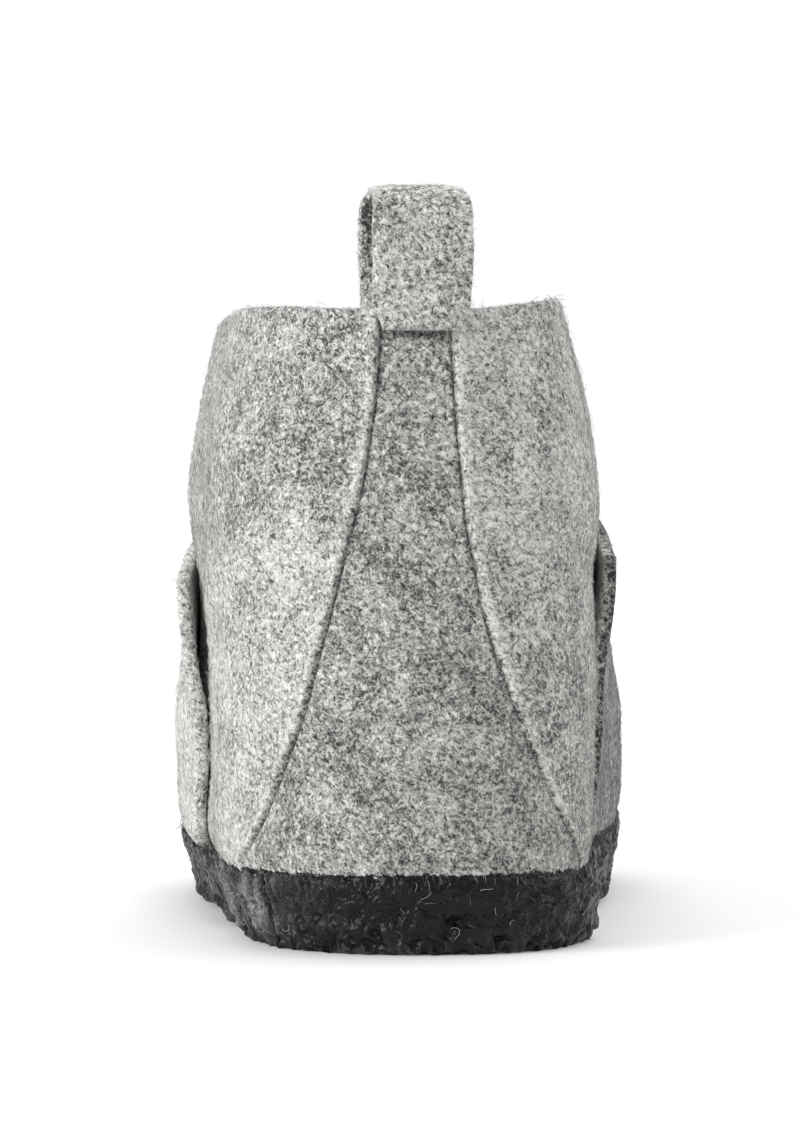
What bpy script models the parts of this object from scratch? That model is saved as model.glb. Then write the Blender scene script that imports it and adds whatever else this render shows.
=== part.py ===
"""Felt ankle slipper for the left foot, modelled as the pieces that a maker would put together.

Toe towards +Y, heel towards -Y, up is +Z, and the outer side of the foot is at -X.
The origin is on the floor, in the middle of the flat spot under the heel.
All lengths are in metres. "Along" is a distance forward of the back of the heel,
and "height" names a horizontal section of the last by how high it lies at the back of the heel.
"""

from collections import namedtuple
from functools import lru_cache

import bmesh
import bpy
import numpy as np

MM = 0.001

# Driving sizes of the slipper
LENGTH = 264.5 * MM
HEEL_REST_ALONG = 40.0 * MM
COLLAR_HEIGHT = 130.0 * MM
HEEL_STATION = 52.0 * MM
TOE_IN = 16.0 * MM
TOE_IN_START = 60.0 * MM
TOE_IN_POWER = 1.2
COLLAR_LEAN = -1.5 * MM
LEAN_START = 12.0 * MM
BALL_SKEW = 9.0 * MM
SKEW_END = 100.0 * MM
ARCH_IN = 3.0 * MM
ARCH_STATION = 105.0 * MM
ARCH_REACH = 34.0 * MM
BACK_ROUNDING = 2.3
FRONT_ROUNDING = 2.3

# Felt and rubber
QUARTER_FELT = 3.4 * MM
LINING_FELT = 1.9 * MM
VAMP_FELT = 3.1 * MM
LAP_GAP = 0.7 * MM
CUP_GAP = 0.55 * MM
CUP_RUN_OUT = 34.0 * MM
CUP_STEP_IN = 4.1 * MM
SEAT_GAP = 0.3 * MM
EDGE_BEVEL = 0.8 * MM

# Heights of the sections that bound the pieces
HEM = 6.3 * MM
RUBBER_EDGE = 16.5 * MM
INSOLE_TOP = 11.0 * MM
FLAT_NORMAL_END = 34.0 * MM

# Back strip: half its width at the top, how far it flares, and its seams' relief
STRIP_TOP = 128.0 * MM
STRIP_FOOT = 18.0 * MM
STRIP_TOP_HALF = 7.6 * MM
STRIP_FLARE = 27.4 * MM
STRIP_FLARE_POWER = 1.9
STRIP_MOST = 0.92
SEAM_FADE = (15.0 * MM, 20.0 * MM)

# Wings of the vamp
WING_FOOT_ALONG = 97.0 * MM
WING_TOP_ALONG = 107.0 * MM
WING_TOP = 92.0 * MM
THROAT_TOP = 118.0 * MM
WING_CORNER = 3.5 * MM
WING_FLARE_HEIGHT = 74.0 * MM
WING_FLARE_SPREAD = 15.0 * MM
WING_FLARE_REACH = 17.0 * MM

# The two wings: the height of their top corners, and how far their edges stand off the quarters
Wing = namedtuple("Wing", "top flare")
WINGS = {-1: Wing(86.0 * MM, 1.2 * MM), 1: Wing(92.0 * MM, 2.8 * MM)}

# Underside of the sole
ARCH_RISE = 3.0 * MM
TOE_SPRING = 8.0 * MM
HEEL_FLAT_END = 68.0 * MM
BALL_FLAT_START = 150.0 * MM
BALL_FLAT_END = 204.0 * MM

# Pull loop
LOOP_WIDTH = 20.0 * MM
LOOP_FELT = 3.0 * MM
LOOP_TOP = 156.6 * MM
LOOP_FOOT_OUTSIDE = 126.6 * MM
LOOP_FOOT_INSIDE = 115.0 * MM
LOOP_INNER_HALF_GAP = 3.8 * MM
LOOP_OUTSIDE_RADIUS = 71.0 * MM
LOOP_INSIDE_RADIUS = 37.0 * MM
LOOP_OVER_SEAMS = 0.75 * MM
LOOP_SHEAR = 0.22

# One row for each horizontal section of the last, from the hem to the collar.
# height and front_height: at the back and at the front; rise_power: how late it rises to the front;
# lift: how much its sides stand above that line; back and front: where it ends, along the shoe;
# heel_half and broad_half: half widths at the heel and at its broadest station, which is broad.
Section = namedtuple(
    "Section", "height front_height rise_power lift back front heel_half broad_half broad"
)
SECTIONS = [
    Section(6.3, 11.5, 6.0, 0.0, 4.0, 257.0, 35.0, 42.5, 180.0),
    Section(16.5, 22.0, 4.0, 0.0, 1.5, 262.5, 38.0, 46.2, 180.0),
    Section(32.0, 34.0, 2.0, 0.0, 0.0, 264.5, 39.5, 47.4, 174.0),
    Section(46.0, 45.0, 1.0, 0.0, 0.5, 254.0, 40.0, 46.8, 160.0),
    Section(60.0, 52.0, 1.0, 0.0, 2.0, 236.0, 40.2, 44.8, 144.0),
    Section(74.0, 60.0, 1.0, 0.5, 4.0, 205.0, 40.4, 43.8, 124.0),
    Section(88.0, 70.0, 1.0, 1.5, 6.0, 176.0, 40.6, 44.4, 110.0),
    Section(102.0, 86.0, 1.0, 3.5, 8.0, 155.0, 40.0, 44.6, 100.0),
    Section(116.0, 104.0, 1.0, 5.5, 10.0, 142.0, 37.8, 41.4, 90.0),
    Section(130.0, 124.0, 1.0, 7.5, 12.0, 134.0, 34.2, 36.0, 80.0),
]

# Across a strip's seam, outwards from the strip: distance from the seam, and relief of the felt
SeamStep = namedtuple("SeamStep", "out relief")
SEAM_STEPS = [SeamStep(-1.2, -0.6), SeamStep(0.0, -1.3), SeamStep(1.0, 0.6), SeamStep(3.2, 0.0)]

UPPER_HEIGHTS = [6.3, 11.0, 16.5, 24.0, 32.0, 39.0, 46.0, 53.0, 60.0, 67.0, 74.0, 81.0, 88.0]
UPPER_HEIGHTS += [95.0, 102.0, 109.0, 116.0, 123.0, 128.8]
STRIP_COLUMNS = 5
QUARTER_COLUMNS = 9
FRONT_COLUMNS = 12
VAMP_ROWS = 17
RING_SAMPLES = 90
SHARP_ANGLE = np.radians(40)


def smooth(value, low, high):
    """Rises smoothly from 0 at low to 1 at high."""
    part = np.clip((value - low) / (high - low), 0.0, 1.0)
    return part * part * (3.0 - 2.0 * part)


def hermite(places, values, place):
    """A smooth curve through values at places, without overshoot at its ends."""
    slopes = np.gradient(values, places)
    index = int(np.clip(np.searchsorted(places, place) - 1, 0, len(places) - 2))
    span = places[index + 1] - places[index]
    part = (place - places[index]) / span
    square, cube = part * part, part * part * part
    return (
        (2 * cube - 3 * square + 1) * values[index]
        + (cube - 2 * square + part) * span * slopes[index]
        + (3 * square - 2 * cube) * values[index + 1]
        + (cube - square) * span * slopes[index + 1]
    )


@lru_cache(maxsize=None)
def section_at(height):
    """The section of the last at any height, in metres."""
    heights = np.array([row.height for row in SECTIONS]) * MM
    values = {"height": height, "rise_power": 1.0}
    for name in Section._fields[1:]:
        column = np.array([getattr(row, name) for row in SECTIONS])
        values[name] = hermite(heights, column, height)
        if name != "rise_power":
            values[name] *= MM
    return Section(**values)


def centre_line(along, height):
    """The sideways curve of the last: the forefoot turns in, and the collar leans out."""
    reach = np.clip((along - TOE_IN_START) / (LENGTH - TOE_IN_START), 0.0, None)
    lean = COLLAR_LEAN * (height / COLLAR_HEIGHT) ** 2 * smooth(along, LEAN_START, HEEL_STATION)
    return TOE_IN * reach**TOE_IN_POWER + lean


@lru_cache(maxsize=None)
def half_ring(height, side):
    """Half of a section, from the back of the heel to the front, with each point's share of its length."""
    section = section_at(height)
    low = 1.0 - smooth(height, RUBBER_EDGE, SKEW_END)
    broad = section.broad + side * BALL_SKEW * low
    turn = np.linspace(0.0, np.pi / 2, RING_SAMPLES)
    heel_along = HEEL_STATION - (HEEL_STATION - section.back) * np.cos(turn) ** (2 / BACK_ROUNDING)
    heel_round = np.sin(turn) ** (2 / BACK_ROUNDING)
    middle = np.linspace(HEEL_STATION, broad, RING_SAMPLES)[1:-1]
    front_along = broad + (section.front - broad) * np.sin(turn) ** (2 / FRONT_ROUNDING)
    front_round = np.cos(turn) ** (2 / FRONT_ROUNDING)
    along = np.concatenate([heel_along, middle, front_along])
    rounding = np.concatenate([heel_round, np.ones(len(middle)), front_round])
    widening = smooth(along, HEEL_STATION, broad)
    half = section.heel_half + (section.broad_half - section.heel_half) * widening
    if side > 0:
        half = half - ARCH_IN * low * np.exp(-(((along - ARCH_STATION) / ARCH_REACH) ** 2))
    part = np.clip((along - section.back) / (section.front - section.back), 0.0, 1.0)
    rise = height + (section.front_height - height) * part**section.rise_power
    rise = rise + section.lift * 4 * part * (1 - part)
    x = centre_line(along, height) + side * half * rounding
    points = np.column_stack([x, along - HEEL_REST_ALONG, rise])
    steps = np.linalg.norm(np.diff(points, axis=0), axis=1)
    lengths = np.concatenate([[0.0], np.cumsum(steps)])
    return points, lengths


def skin_point(height, place):
    """A point of the outer skin. Place runs from -1, the front, by the outer side to 0, the heel, to 1."""
    place = (place + 1.0) % 2.0 - 1.0
    points, lengths = half_ring(height, 1 if place >= 0 else -1)
    arc = abs(place) * lengths[-1]
    return np.array([np.interp(arc, lengths, points[:, axis]) for axis in range(3)])


def skin_normal(height, place):
    """The outward direction of the skin, kept level at its foot, where pieces nest in the rubber."""
    top = SECTIONS[-1].height * MM
    around = skin_point(height, place + 0.008) - skin_point(height, place - 0.008)
    up = skin_point(min(height + MM, top), place) - skin_point(min(height, top - MM) - MM, place)
    normal = np.cross(around, up)
    normal[2] *= smooth(height, RUBBER_EDGE, FLAT_NORMAL_END)
    return normal / np.linalg.norm(normal)


def skin(height, place, offset=0.0):
    """A point at an offset from the outer skin."""
    return skin_point(height, place) + offset * skin_normal(height, place)


def strip_half(height):
    """Half the width of the back strip at a height."""
    drop = np.clip((STRIP_TOP - height) / (STRIP_TOP - STRIP_FOOT), 0.0, 1.0)
    return STRIP_TOP_HALF + STRIP_FLARE * drop**STRIP_FLARE_POWER


def seam_arc(height, side):
    """How far round from the back the strip's seam lies."""
    points, lengths = half_ring(height, side)
    reach = np.abs(points[:RING_SAMPLES, 0] - points[0, 0])
    half = min(strip_half(height), STRIP_MOST * reach[-1])
    return float(np.interp(half, reach, lengths[:RING_SAMPLES]))


def wing_arc(height, side):
    """How far round from the back the wing's free edge lies."""
    points, lengths = half_ring(height, side)
    part = np.clip((height - RUBBER_EDGE) / (WING_TOP - RUBBER_EDGE), 0.0, 1.0)
    along = WING_FOOT_ALONG + (WING_TOP_ALONG - WING_FOOT_ALONG) * part**2
    return float(np.interp(along - HEEL_REST_ALONG, points[:, 1], lengths))


def half_columns(height, side):
    """Columns of one side, from the back to the front, as place and relief of the felt."""
    length = half_ring(height, side)[1][-1]
    seam, wing = seam_arc(height, side), wing_arc(height, side)
    depth = smooth(height, *SEAM_FADE)
    first = seam + SEAM_STEPS[0].out * MM
    arcs = [first * index / STRIP_COLUMNS for index in range(STRIP_COLUMNS)]
    reliefs = [SEAM_STEPS[0].relief * MM * depth] * STRIP_COLUMNS
    arcs += [seam + step.out * MM for step in SEAM_STEPS]
    reliefs += [step.relief * MM * depth for step in SEAM_STEPS]
    start, stop = arcs[-1], wing - 4 * MM
    arcs += [start + (stop - start) * (index + 1) / QUARTER_COLUMNS for index in range(QUARTER_COLUMNS)]
    arcs += [wing + (length - wing) * index / FRONT_COLUMNS for index in range(FRONT_COLUMNS + 1)]
    reliefs += [0.0] * (QUARTER_COLUMNS + FRONT_COLUMNS + 1)
    return [(arc / length, relief) for arc, relief in zip(arcs, reliefs)]


@lru_cache(maxsize=None)
def columns(height):
    """Columns right round: from the front by the outer side, the heel and the inner side."""
    outer = [(-place, relief) for place, relief in half_columns(height, -1)[::-1]]
    inner = half_columns(height, 1)[1:-1]
    return outer + inner


def make_material(name, colour, roughness):
    material = bpy.data.materials.new(name)
    material.use_nodes = True
    shader = material.node_tree.nodes["Principled BSDF"]
    shader.inputs["Base Color"].default_value = (*colour, 1.0)
    shader.inputs["Roughness"].default_value = roughness
    shader.inputs["Metallic"].default_value = 0.0
    return material


def loft(name, rings, material, first_partner=None):
    """One closed body through rings of points.

    Without first_partner the last ring joins the first. Otherwise rungs close the two end rings, from
    each point to its partner on the other side: 0 says that the first point is its own partner, on
    the middle line, and 1 that its partner is the last point.
    """
    shape = bmesh.new()
    loops = [[shape.verts.new(point) for point in ring] for ring in rings]
    count = len(loops[0])
    pairs = list(zip(loops, loops[1:]))
    if first_partner is None:
        pairs.append((loops[-1], loops[0]))
    else:
        for loop in (loops[0], loops[-1]):
            for index in range(count // 2 - first_partner):
                partner = -index - first_partner
                corners = (loop[index], loop[index + 1], loop[partner - 1], loop[partner % count])
                shape.faces.new(dict.fromkeys(corners))
    for lower, upper in pairs:
        for index in range(count):
            after = (index + 1) % count
            shape.faces.new((lower[index], lower[after], upper[after], upper[index]))
    bmesh.ops.recalc_face_normals(shape, faces=shape.faces)
    mesh = bpy.data.meshes.new(name)
    shape.to_mesh(mesh)
    shape.free()
    mesh.materials.append(material)
    mesh.shade_smooth()
    mesh.set_sharp_from_angle(angle=SHARP_ANGLE)
    piece = bpy.data.objects.new(name, mesh)
    bpy.context.collection.objects.link(piece)
    return piece


def felt_thickness(height, place):
    """Full felt at the back, thinner where the vamp covers it."""
    arc = abs(place) * half_ring(height, 1 if place >= 0 else -1)[1][-1]
    wing = wing_arc(height, 1 if place >= 0 else -1)
    under_vamp = smooth(arc, wing + 6 * MM, wing + 26 * MM)
    under_vamp *= 1.0 - smooth(height, WING_TOP, THROAT_TOP)
    return QUARTER_FELT + (LINING_FELT - QUARTER_FELT) * under_vamp


def make_upper(material):
    """One hollow felt wall, open at the collar and underneath, with the strip's seams as steps."""
    outer, inner = [], []
    for height in (value * MM for value in UPPER_HEIGHTS):
        outer.append([skin(height, place, relief) for place, relief in columns(height)])
        inner.append([skin(height, place, -felt_thickness(height, place)) for place, _ in columns(height)])
    rim = columns(COLLAR_HEIGHT)
    outer.append([skin(COLLAR_HEIGHT, place, relief - EDGE_BEVEL) for place, relief in rim])
    inner.append([skin(COLLAR_HEIGHT, place, EDGE_BEVEL - QUARTER_FELT) for place, _ in rim])
    return loft("upper", outer + inner[::-1], material)


def wing_flare(side, height, beyond):
    """How far the wing stands off the quarter, beyond being the distance from its free edge."""
    level = np.exp(-(((height - WING_FLARE_HEIGHT) / WING_FLARE_SPREAD) ** 2))
    return WINGS[side].flare * level * np.clip(1.0 - beyond / WING_FLARE_REACH, 0.0, 1.0) ** 2


def vamp_top(side, share):
    """Height of the vamp's top edge, share running from 0 at the wing's edge to 1 at the front."""
    corner = WINGS[side].top
    return corner + (THROAT_TOP - corner) * smooth(share, 0.0, 1.0) ** 0.8 - WING_CORNER * (1 - share) ** 8


def vamp_place(side, share, row):
    """Height and place of a point of the vamp, and how far it lies from the wing's edge."""
    height = HEM + (vamp_top(side, share) - HEM) * row
    length = half_ring(height, side)[1][-1]
    wing = wing_arc(height, side)
    arc = wing + (length - wing) * share
    return height, side * arc / length, arc - wing


def make_vamp(material):
    """The front piece: its wings lap over the quarters, and their edges stand off at the top."""
    shares = [index / FRONT_COLUMNS for index in range(FRONT_COLUMNS + 1)]
    spots = [(-1, share) for share in shares] + [(1, share) for share in shares[-2::-1]]
    inner, outer = [], []
    for index in range(VAMP_ROWS + 1):
        inner_row, outer_row = [], []
        for side, share in spots:
            height, place, beyond = vamp_place(side, share, index / VAMP_ROWS)
            stand = LAP_GAP + wing_flare(side, height, beyond)
            inner_row.append(skin(height, place, stand))
            outer_row.append(skin(height, place, stand + VAMP_FELT))
        inner.append(inner_row)
        outer.append(outer_row)
    rings = [row_in + row_out[::-1] for row_in, row_out in zip(inner, outer)]
    return loft("vamp", rings, material, first_partner=1)


def cup_offset(height, place, run_out):
    """How far the rubber lies outside the skin: past the vamp, once run_out behind the wing's edge."""
    side = 1 if place >= 0 else -1
    arc = abs(place) * half_ring(height, side)[1][-1]
    wing = wing_arc(height, side)
    covered = smooth(arc, wing - run_out, wing - 0.5 * MM)
    return CUP_GAP + (LAP_GAP + VAMP_FELT) * covered


def sole_underside(along):
    """Height of the sole's underside above the floor: two flat spots, an arch and the toe spring."""
    arch = ARCH_RISE * smooth(along, HEEL_FLAT_END, (HEEL_FLAT_END + BALL_FLAT_START) / 2)
    arch *= 1.0 - smooth(along, (HEEL_FLAT_END + BALL_FLAT_START) / 2, BALL_FLAT_START)
    toe = np.clip((along - BALL_FLAT_END) / (LENGTH - BALL_FLAT_END), 0.0, None)
    return arch + TOE_SPRING * toe**2


# Outer face of the rubber, from its ragged top edge to the tread: the section it follows, how far out
# it stands from the inner face, and how much of the way down from that section to the tread it lies.
CupStep = namedtuple("CupStep", "height out down")
CUP_STEPS = [
    CupStep(16.5, 0.9, 0.0),
    CupStep(12.5, 1.3, 0.0),
    CupStep(8.5, 1.3, 0.0),
    CupStep(7.0, 0.8, 0.45),
    CupStep(6.3, 0.0, 0.84),
    CupStep(6.3, -2.0, 1.0),
]


def make_outsole(material):
    """A shallow rubber cup round the felt's foot, with a rounded edge, an arch and a toe spring."""
    rings = []
    for step in CUP_STEPS[::-1]:
        height = step.height * MM
        ring = []
        for place, _ in columns(height):
            point = skin(height, place, cup_offset(height, place, CUP_RUN_OUT) + step.out * MM)
            ground = sole_underside(point[1] + HEEL_REST_ALONG)
            point[2] += (ground - point[2]) * step.down
            ring.append(point)
        rings.append(ring)
    for height, inwards in ((RUBBER_EDGE, 0.0), (11.0 * MM, 0.0), (HEM, 0.0), (HEM, 10.0 * MM)):
        ring = []
        for place, _ in columns(height):
            point = skin(height, place, cup_offset(height, place, CUP_STEP_IN) - inwards)
            if height == HEM:
                point[2] = skin_point(HEM, place)[2] - SEAT_GAP
            ring.append(point)
        rings.append(ring)
    return loft("outsole", rings, material, first_partner=0)


def make_insole(material):
    """The felt footbed, inside the foot of the upper."""
    rings = []
    for height, inwards, lower in (
        (HEM, 4.0 * MM, 0.0),
        (HEM, 0.0, 0.0),
        (INSOLE_TOP, 0.2 * MM, 0.0),
        (INSOLE_TOP, 12.0 * MM, 0.8 * MM),
    ):
        ring = []
        for place, _ in columns(height):
            inside = felt_thickness(height, place) + CUP_GAP + inwards
            point = skin(height, place, -inside)
            point[2] = skin_point(height, place)[2] - lower
            ring.append(point)
        rings.append(ring)
    return loft("insole", rings, material, first_partner=0)


def loop_path():
    """Centre line of the pull loop in the plane x = 0: up outside the strip, over, and down inside."""
    half_felt = LOOP_FELT / 2
    outside_offset = LOOP_OVER_SEAMS + half_felt
    outside = [(height, outside_offset) for height in (LOOP_FOOT_OUTSIDE, COLLAR_HEIGHT)]
    inside_offset = -QUARTER_FELT - SEAT_GAP - half_felt
    inside = [(height, inside_offset) for height in (COLLAR_HEIGHT, 122.5 * MM, LOOP_FOOT_INSIDE)]
    path = [skin(height, 0.0, offset)[1:] for height, offset in outside]
    rim = skin(COLLAR_HEIGHT, 0.0, -QUARTER_FELT / 2)
    radius = LOOP_INNER_HALF_GAP + half_felt
    crown = LOOP_TOP - half_felt - radius
    path.append(np.array([rim[1] - radius, (rim[2] + crown) / 2 + 2 * MM]))
    for turn in np.linspace(0.0, np.pi, 9):
        path.append(np.array([rim[1] - radius * np.cos(turn), crown + radius * np.sin(turn)]))
    path.append(np.array([rim[1] + radius, (rim[2] + crown) / 2 + 2 * MM]))
    path += [skin(height, 0.0, offset)[1:] for height, offset in inside]
    return np.array(path), rim[1]


def make_pull_loop(material):
    """A folded felt strap, sewn on outside and inside the strip, its inside leg a little to one side."""
    path, pivot = loop_path()
    tangents = np.gradient(path, axis=0)
    tangents /= np.linalg.norm(tangents, axis=1)[:, None]
    lean = skin_point(COLLAR_HEIGHT, 0.0)[0]
    rings = []
    for (y, z), (ty, tz) in zip(path, tangents):
        free = smooth(z, COLLAR_HEIGHT, LOOP_TOP - 8 * MM)
        half_width = LOOP_WIDTH / 2 * (1.0 - 0.05 * smooth(z, LOOP_TOP - 4 * MM, LOOP_TOP))
        seat_radius = LOOP_OUTSIDE_RADIUS if y < pivot else LOOP_INSIDE_RADIUS
        ring = []
        for level, shares in ((-1, (-1, -0.5, 0, 0.5, 1)), (1, (1, 0.5, 0, -0.5, -1))):
            for share in shares:
                x = half_width * share
                thick = LOOP_FELT / 2 * (1.0 if abs(share) < 1 else 0.72)
                bow = (1.0 - free) * x * x / (2 * seat_radius)
                from_pivot = y + level * thick * tz - pivot
                ring.append(
                    (
                        lean + x - LOOP_SHEAR * from_pivot,
                        pivot + bow + from_pivot,
                        z - level * thick * ty,
                    )
                )
        rings.append(ring)
    return loft("pull_loop", rings, material, first_partner=1)


def main():
    for thing in list(bpy.data.objects):
        bpy.data.objects.remove(thing, do_unlink=True)
    light_felt = make_material("light_felt", (0.52, 0.52, 0.50), 0.95)
    footbed_felt = make_material("footbed_felt", (0.42, 0.42, 0.40), 0.95)
    black_rubber = make_material("black_rubber", (0.026, 0.026, 0.027), 0.6)
    make_outsole(black_rubber)
    make_insole(footbed_felt)
    make_upper(light_felt)
    make_vamp(light_felt)
    make_pull_loop(light_felt)


main()
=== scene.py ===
# %% [markdown]
# # A felt ankle slipper, seen from behind
#
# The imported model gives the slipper's solids: a rubber sole, a footbed, the upper, the vamp that laps
# over it, and the pull loop at the heel. They are plain and smooth. This lesson dresses them: each
# solid gets a finer piece with its seams, creases and cut edges, then wool on it, hair by hair.
# Lengths are in metres. The toe points to +Y, the outer side of the foot to -X, and up is +Z.

import math
from collections import namedtuple

import bmesh
import bpy
import numpy as np
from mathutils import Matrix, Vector, noise


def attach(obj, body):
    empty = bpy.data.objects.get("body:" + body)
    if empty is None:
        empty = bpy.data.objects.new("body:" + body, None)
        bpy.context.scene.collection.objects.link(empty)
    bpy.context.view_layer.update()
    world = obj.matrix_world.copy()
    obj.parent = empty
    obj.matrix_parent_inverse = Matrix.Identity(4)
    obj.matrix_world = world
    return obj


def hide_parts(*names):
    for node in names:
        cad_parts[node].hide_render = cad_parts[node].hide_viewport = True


MM = 0.001
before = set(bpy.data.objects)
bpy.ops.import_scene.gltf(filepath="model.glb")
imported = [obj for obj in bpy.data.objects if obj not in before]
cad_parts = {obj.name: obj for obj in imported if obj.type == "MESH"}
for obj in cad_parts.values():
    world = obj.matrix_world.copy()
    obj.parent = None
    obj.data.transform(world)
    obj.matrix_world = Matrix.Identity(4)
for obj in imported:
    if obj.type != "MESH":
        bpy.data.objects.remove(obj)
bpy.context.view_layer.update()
print("solids:", sorted(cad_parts))

# %% [markdown]
# ## The last
#
# A shoemaker builds on a last, a wooden foot. Here it is a stack of sections: each row of the table is
# one outline, with its height at the back and at the front, where it ends, and its half widths.
# Smooth curves run between the rows, so a point on the skin is found from two numbers: a height, and
# how far round it lies. Every piece below is a sheet at some distance from this skin, and so the
# pieces fit each other without any trying.

# %% Sizes and sections of the last
LENGTH = 264.5 * MM
HEEL_REST_ALONG = 40.0 * MM
COLLAR_HEIGHT = 130.0 * MM
HEEL_STATION = 52.0 * MM
TOE_IN, TOE_IN_START, TOE_IN_POWER = 16.0 * MM, 60.0 * MM, 1.2
COLLAR_LEAN, LEAN_START = -1.5 * MM, 12.0 * MM
BALL_SKEW, SKEW_END = 9.0 * MM, 100.0 * MM
ARCH_IN, ARCH_STATION, ARCH_REACH = 3.0 * MM, 105.0 * MM, 34.0 * MM
ROUNDING = 2.3
HEM, RUBBER_EDGE, FLAT_NORMAL_END = 6.3 * MM, 16.5 * MM, 34.0 * MM
STRIP_TOP, STRIP_FOOT = 128.0 * MM, 18.0 * MM
STRIP_TOP_HALF, STRIP_FLARE, STRIP_FLARE_POWER, STRIP_MOST = 7.6 * MM, 27.4 * MM, 1.9, 0.92
WING_FOOT_ALONG, WING_TOP_ALONG, WING_TOP = 97.0 * MM, 107.0 * MM, 92.0 * MM

Section = namedtuple(
    "Section", "height front_height rise_power lift back front heel_half broad_half broad"
)
SECTIONS = [
    Section(6.3, 11.5, 6.0, 0.0, 4.0, 257.0, 35.0, 42.5, 180.0),
    Section(16.5, 22.0, 4.0, 0.0, 1.5, 262.5, 38.0, 46.2, 180.0),
    Section(32.0, 34.0, 2.0, 0.0, 0.0, 264.5, 39.5, 47.4, 174.0),
    Section(46.0, 45.0, 1.0, 0.0, 0.5, 254.0, 40.0, 46.8, 160.0),
    Section(60.0, 52.0, 1.0, 0.0, 2.0, 236.0, 40.2, 44.8, 144.0),
    Section(74.0, 60.0, 1.0, 0.5, 4.0, 205.0, 40.4, 43.8, 124.0),
    Section(88.0, 70.0, 1.0, 1.5, 6.0, 176.0, 40.6, 44.4, 110.0),
    Section(102.0, 86.0, 1.0, 3.5, 8.0, 155.0, 40.0, 44.6, 100.0),
    Section(116.0, 104.0, 1.0, 5.5, 10.0, 142.0, 37.8, 41.4, 90.0),
    Section(130.0, 124.0, 1.0, 7.5, 12.0, 134.0, 34.2, 36.0, 80.0),
]


def smooth(value, low, high):
    """Rises smoothly from 0 at low to 1 at high."""
    part = np.clip((value - low) / (high - low), 0.0, 1.0)
    return part * part * (3.0 - 2.0 * part)


def fade(value, low, high):
    """Falls smoothly from 1 at low to 0 at high."""
    return 1.0 - smooth(value, low, high)


def hump(value, middle, reach):
    """A soft bump of height 1."""
    return np.exp(-(((value - middle) / reach) ** 2))


def hermite(places, values, place):
    """A smooth curve through values at places."""
    slopes = np.gradient(values, places)
    index = int(np.clip(np.searchsorted(places, place) - 1, 0, len(places) - 2))
    span = places[index + 1] - places[index]
    part = (place - places[index]) / span
    square, cube = part * part, part * part * part
    return (
        (2 * cube - 3 * square + 1) * values[index]
        + (cube - 2 * square + part) * span * slopes[index]
        + (3 * square - 2 * cube) * values[index + 1]
        + (cube - square) * span * slopes[index + 1]
    )


def section_at(height):
    """The section of the last at any height, in metres."""
    heights = np.array([row.height for row in SECTIONS]) * MM
    values = {"height": height}
    for name in Section._fields[1:]:
        column = np.array([getattr(row, name) for row in SECTIONS])
        values[name] = hermite(heights, column, height) * (1.0 if name == "rise_power" else MM)
    return Section(**values)


print("sections of the last:", len(SECTIONS))

# %% [markdown]
# ### From sections to a skin
#
# Half a section starts at the back of the heel, rounds it, runs forward and rounds the toe. Working
# point by point would be slow, so the whole skin is worked out once, on a grid with a row for each
# millimetre of height, and each piece looks its points up there.

# %% The skin of the last, on a grid
RING_SAMPLES = 90
GRID_LOW, GRID_STEP, GRID_ROWS, GRID_TURNS = 5.3 * MM, 1.0 * MM, 128, 720
grid_heights = GRID_LOW + GRID_STEP * np.arange(GRID_ROWS)


def centre_line(along, height):
    """The sideways curve of the last: the forefoot turns in, and the collar leans out."""
    reach = np.clip((along - TOE_IN_START) / (LENGTH - TOE_IN_START), 0.0, None)
    lean = COLLAR_LEAN * (height / COLLAR_HEIGHT) ** 2 * smooth(along, LEAN_START, HEEL_STATION)
    return TOE_IN * reach**TOE_IN_POWER + lean


def walk(points):
    """How far along a line of points each one lies."""
    steps = np.linalg.norm(np.diff(points, axis=0), axis=1)
    return np.concatenate([[0.0], np.cumsum(steps)])


def half_ring(height, side):
    """Half of a section, from the heel to the front, with how far round each point lies."""
    section = section_at(height)
    low = fade(height, RUBBER_EDGE, SKEW_END)
    broad = section.broad + side * BALL_SKEW * low
    turn = np.linspace(0.0, np.pi / 2, RING_SAMPLES)
    falling, rising = np.cos(turn) ** (2 / ROUNDING), np.sin(turn) ** (2 / ROUNDING)
    heel_along = HEEL_STATION - (HEEL_STATION - section.back) * falling
    middle = np.linspace(HEEL_STATION, broad, RING_SAMPLES)[1:-1]
    front_along = broad + (section.front - broad) * rising
    along = np.concatenate([heel_along, middle, front_along])
    rounding = np.concatenate([rising, np.ones(len(middle)), falling])
    widening = smooth(along, HEEL_STATION, broad)
    half = section.heel_half + (section.broad_half - section.heel_half) * widening
    if side > 0:
        half = half - ARCH_IN * low * hump(along, ARCH_STATION, ARCH_REACH)
    part = np.clip((along - section.back) / (section.front - section.back), 0.0, 1.0)
    rise = height + (section.front_height - height) * part**section.rise_power
    rise = rise + section.lift * 4 * part * (1 - part)
    x = centre_line(along, height) + side * half * rounding
    points = np.column_stack([x, along - HEEL_REST_ALONG, rise])
    return points, walk(points)


def seam_on(points, lengths, height):
    """How far round the strip's seam lies in a half ring."""
    drop = np.clip((STRIP_TOP - height) / (STRIP_TOP - STRIP_FOOT), 0.0, 1.0)
    reach = np.abs(points[:RING_SAMPLES, 0] - points[0, 0])
    half = min(STRIP_TOP_HALF + STRIP_FLARE * drop**STRIP_FLARE_POWER, STRIP_MOST * reach[-1])
    return np.interp(half, reach, lengths[:RING_SAMPLES])


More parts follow.
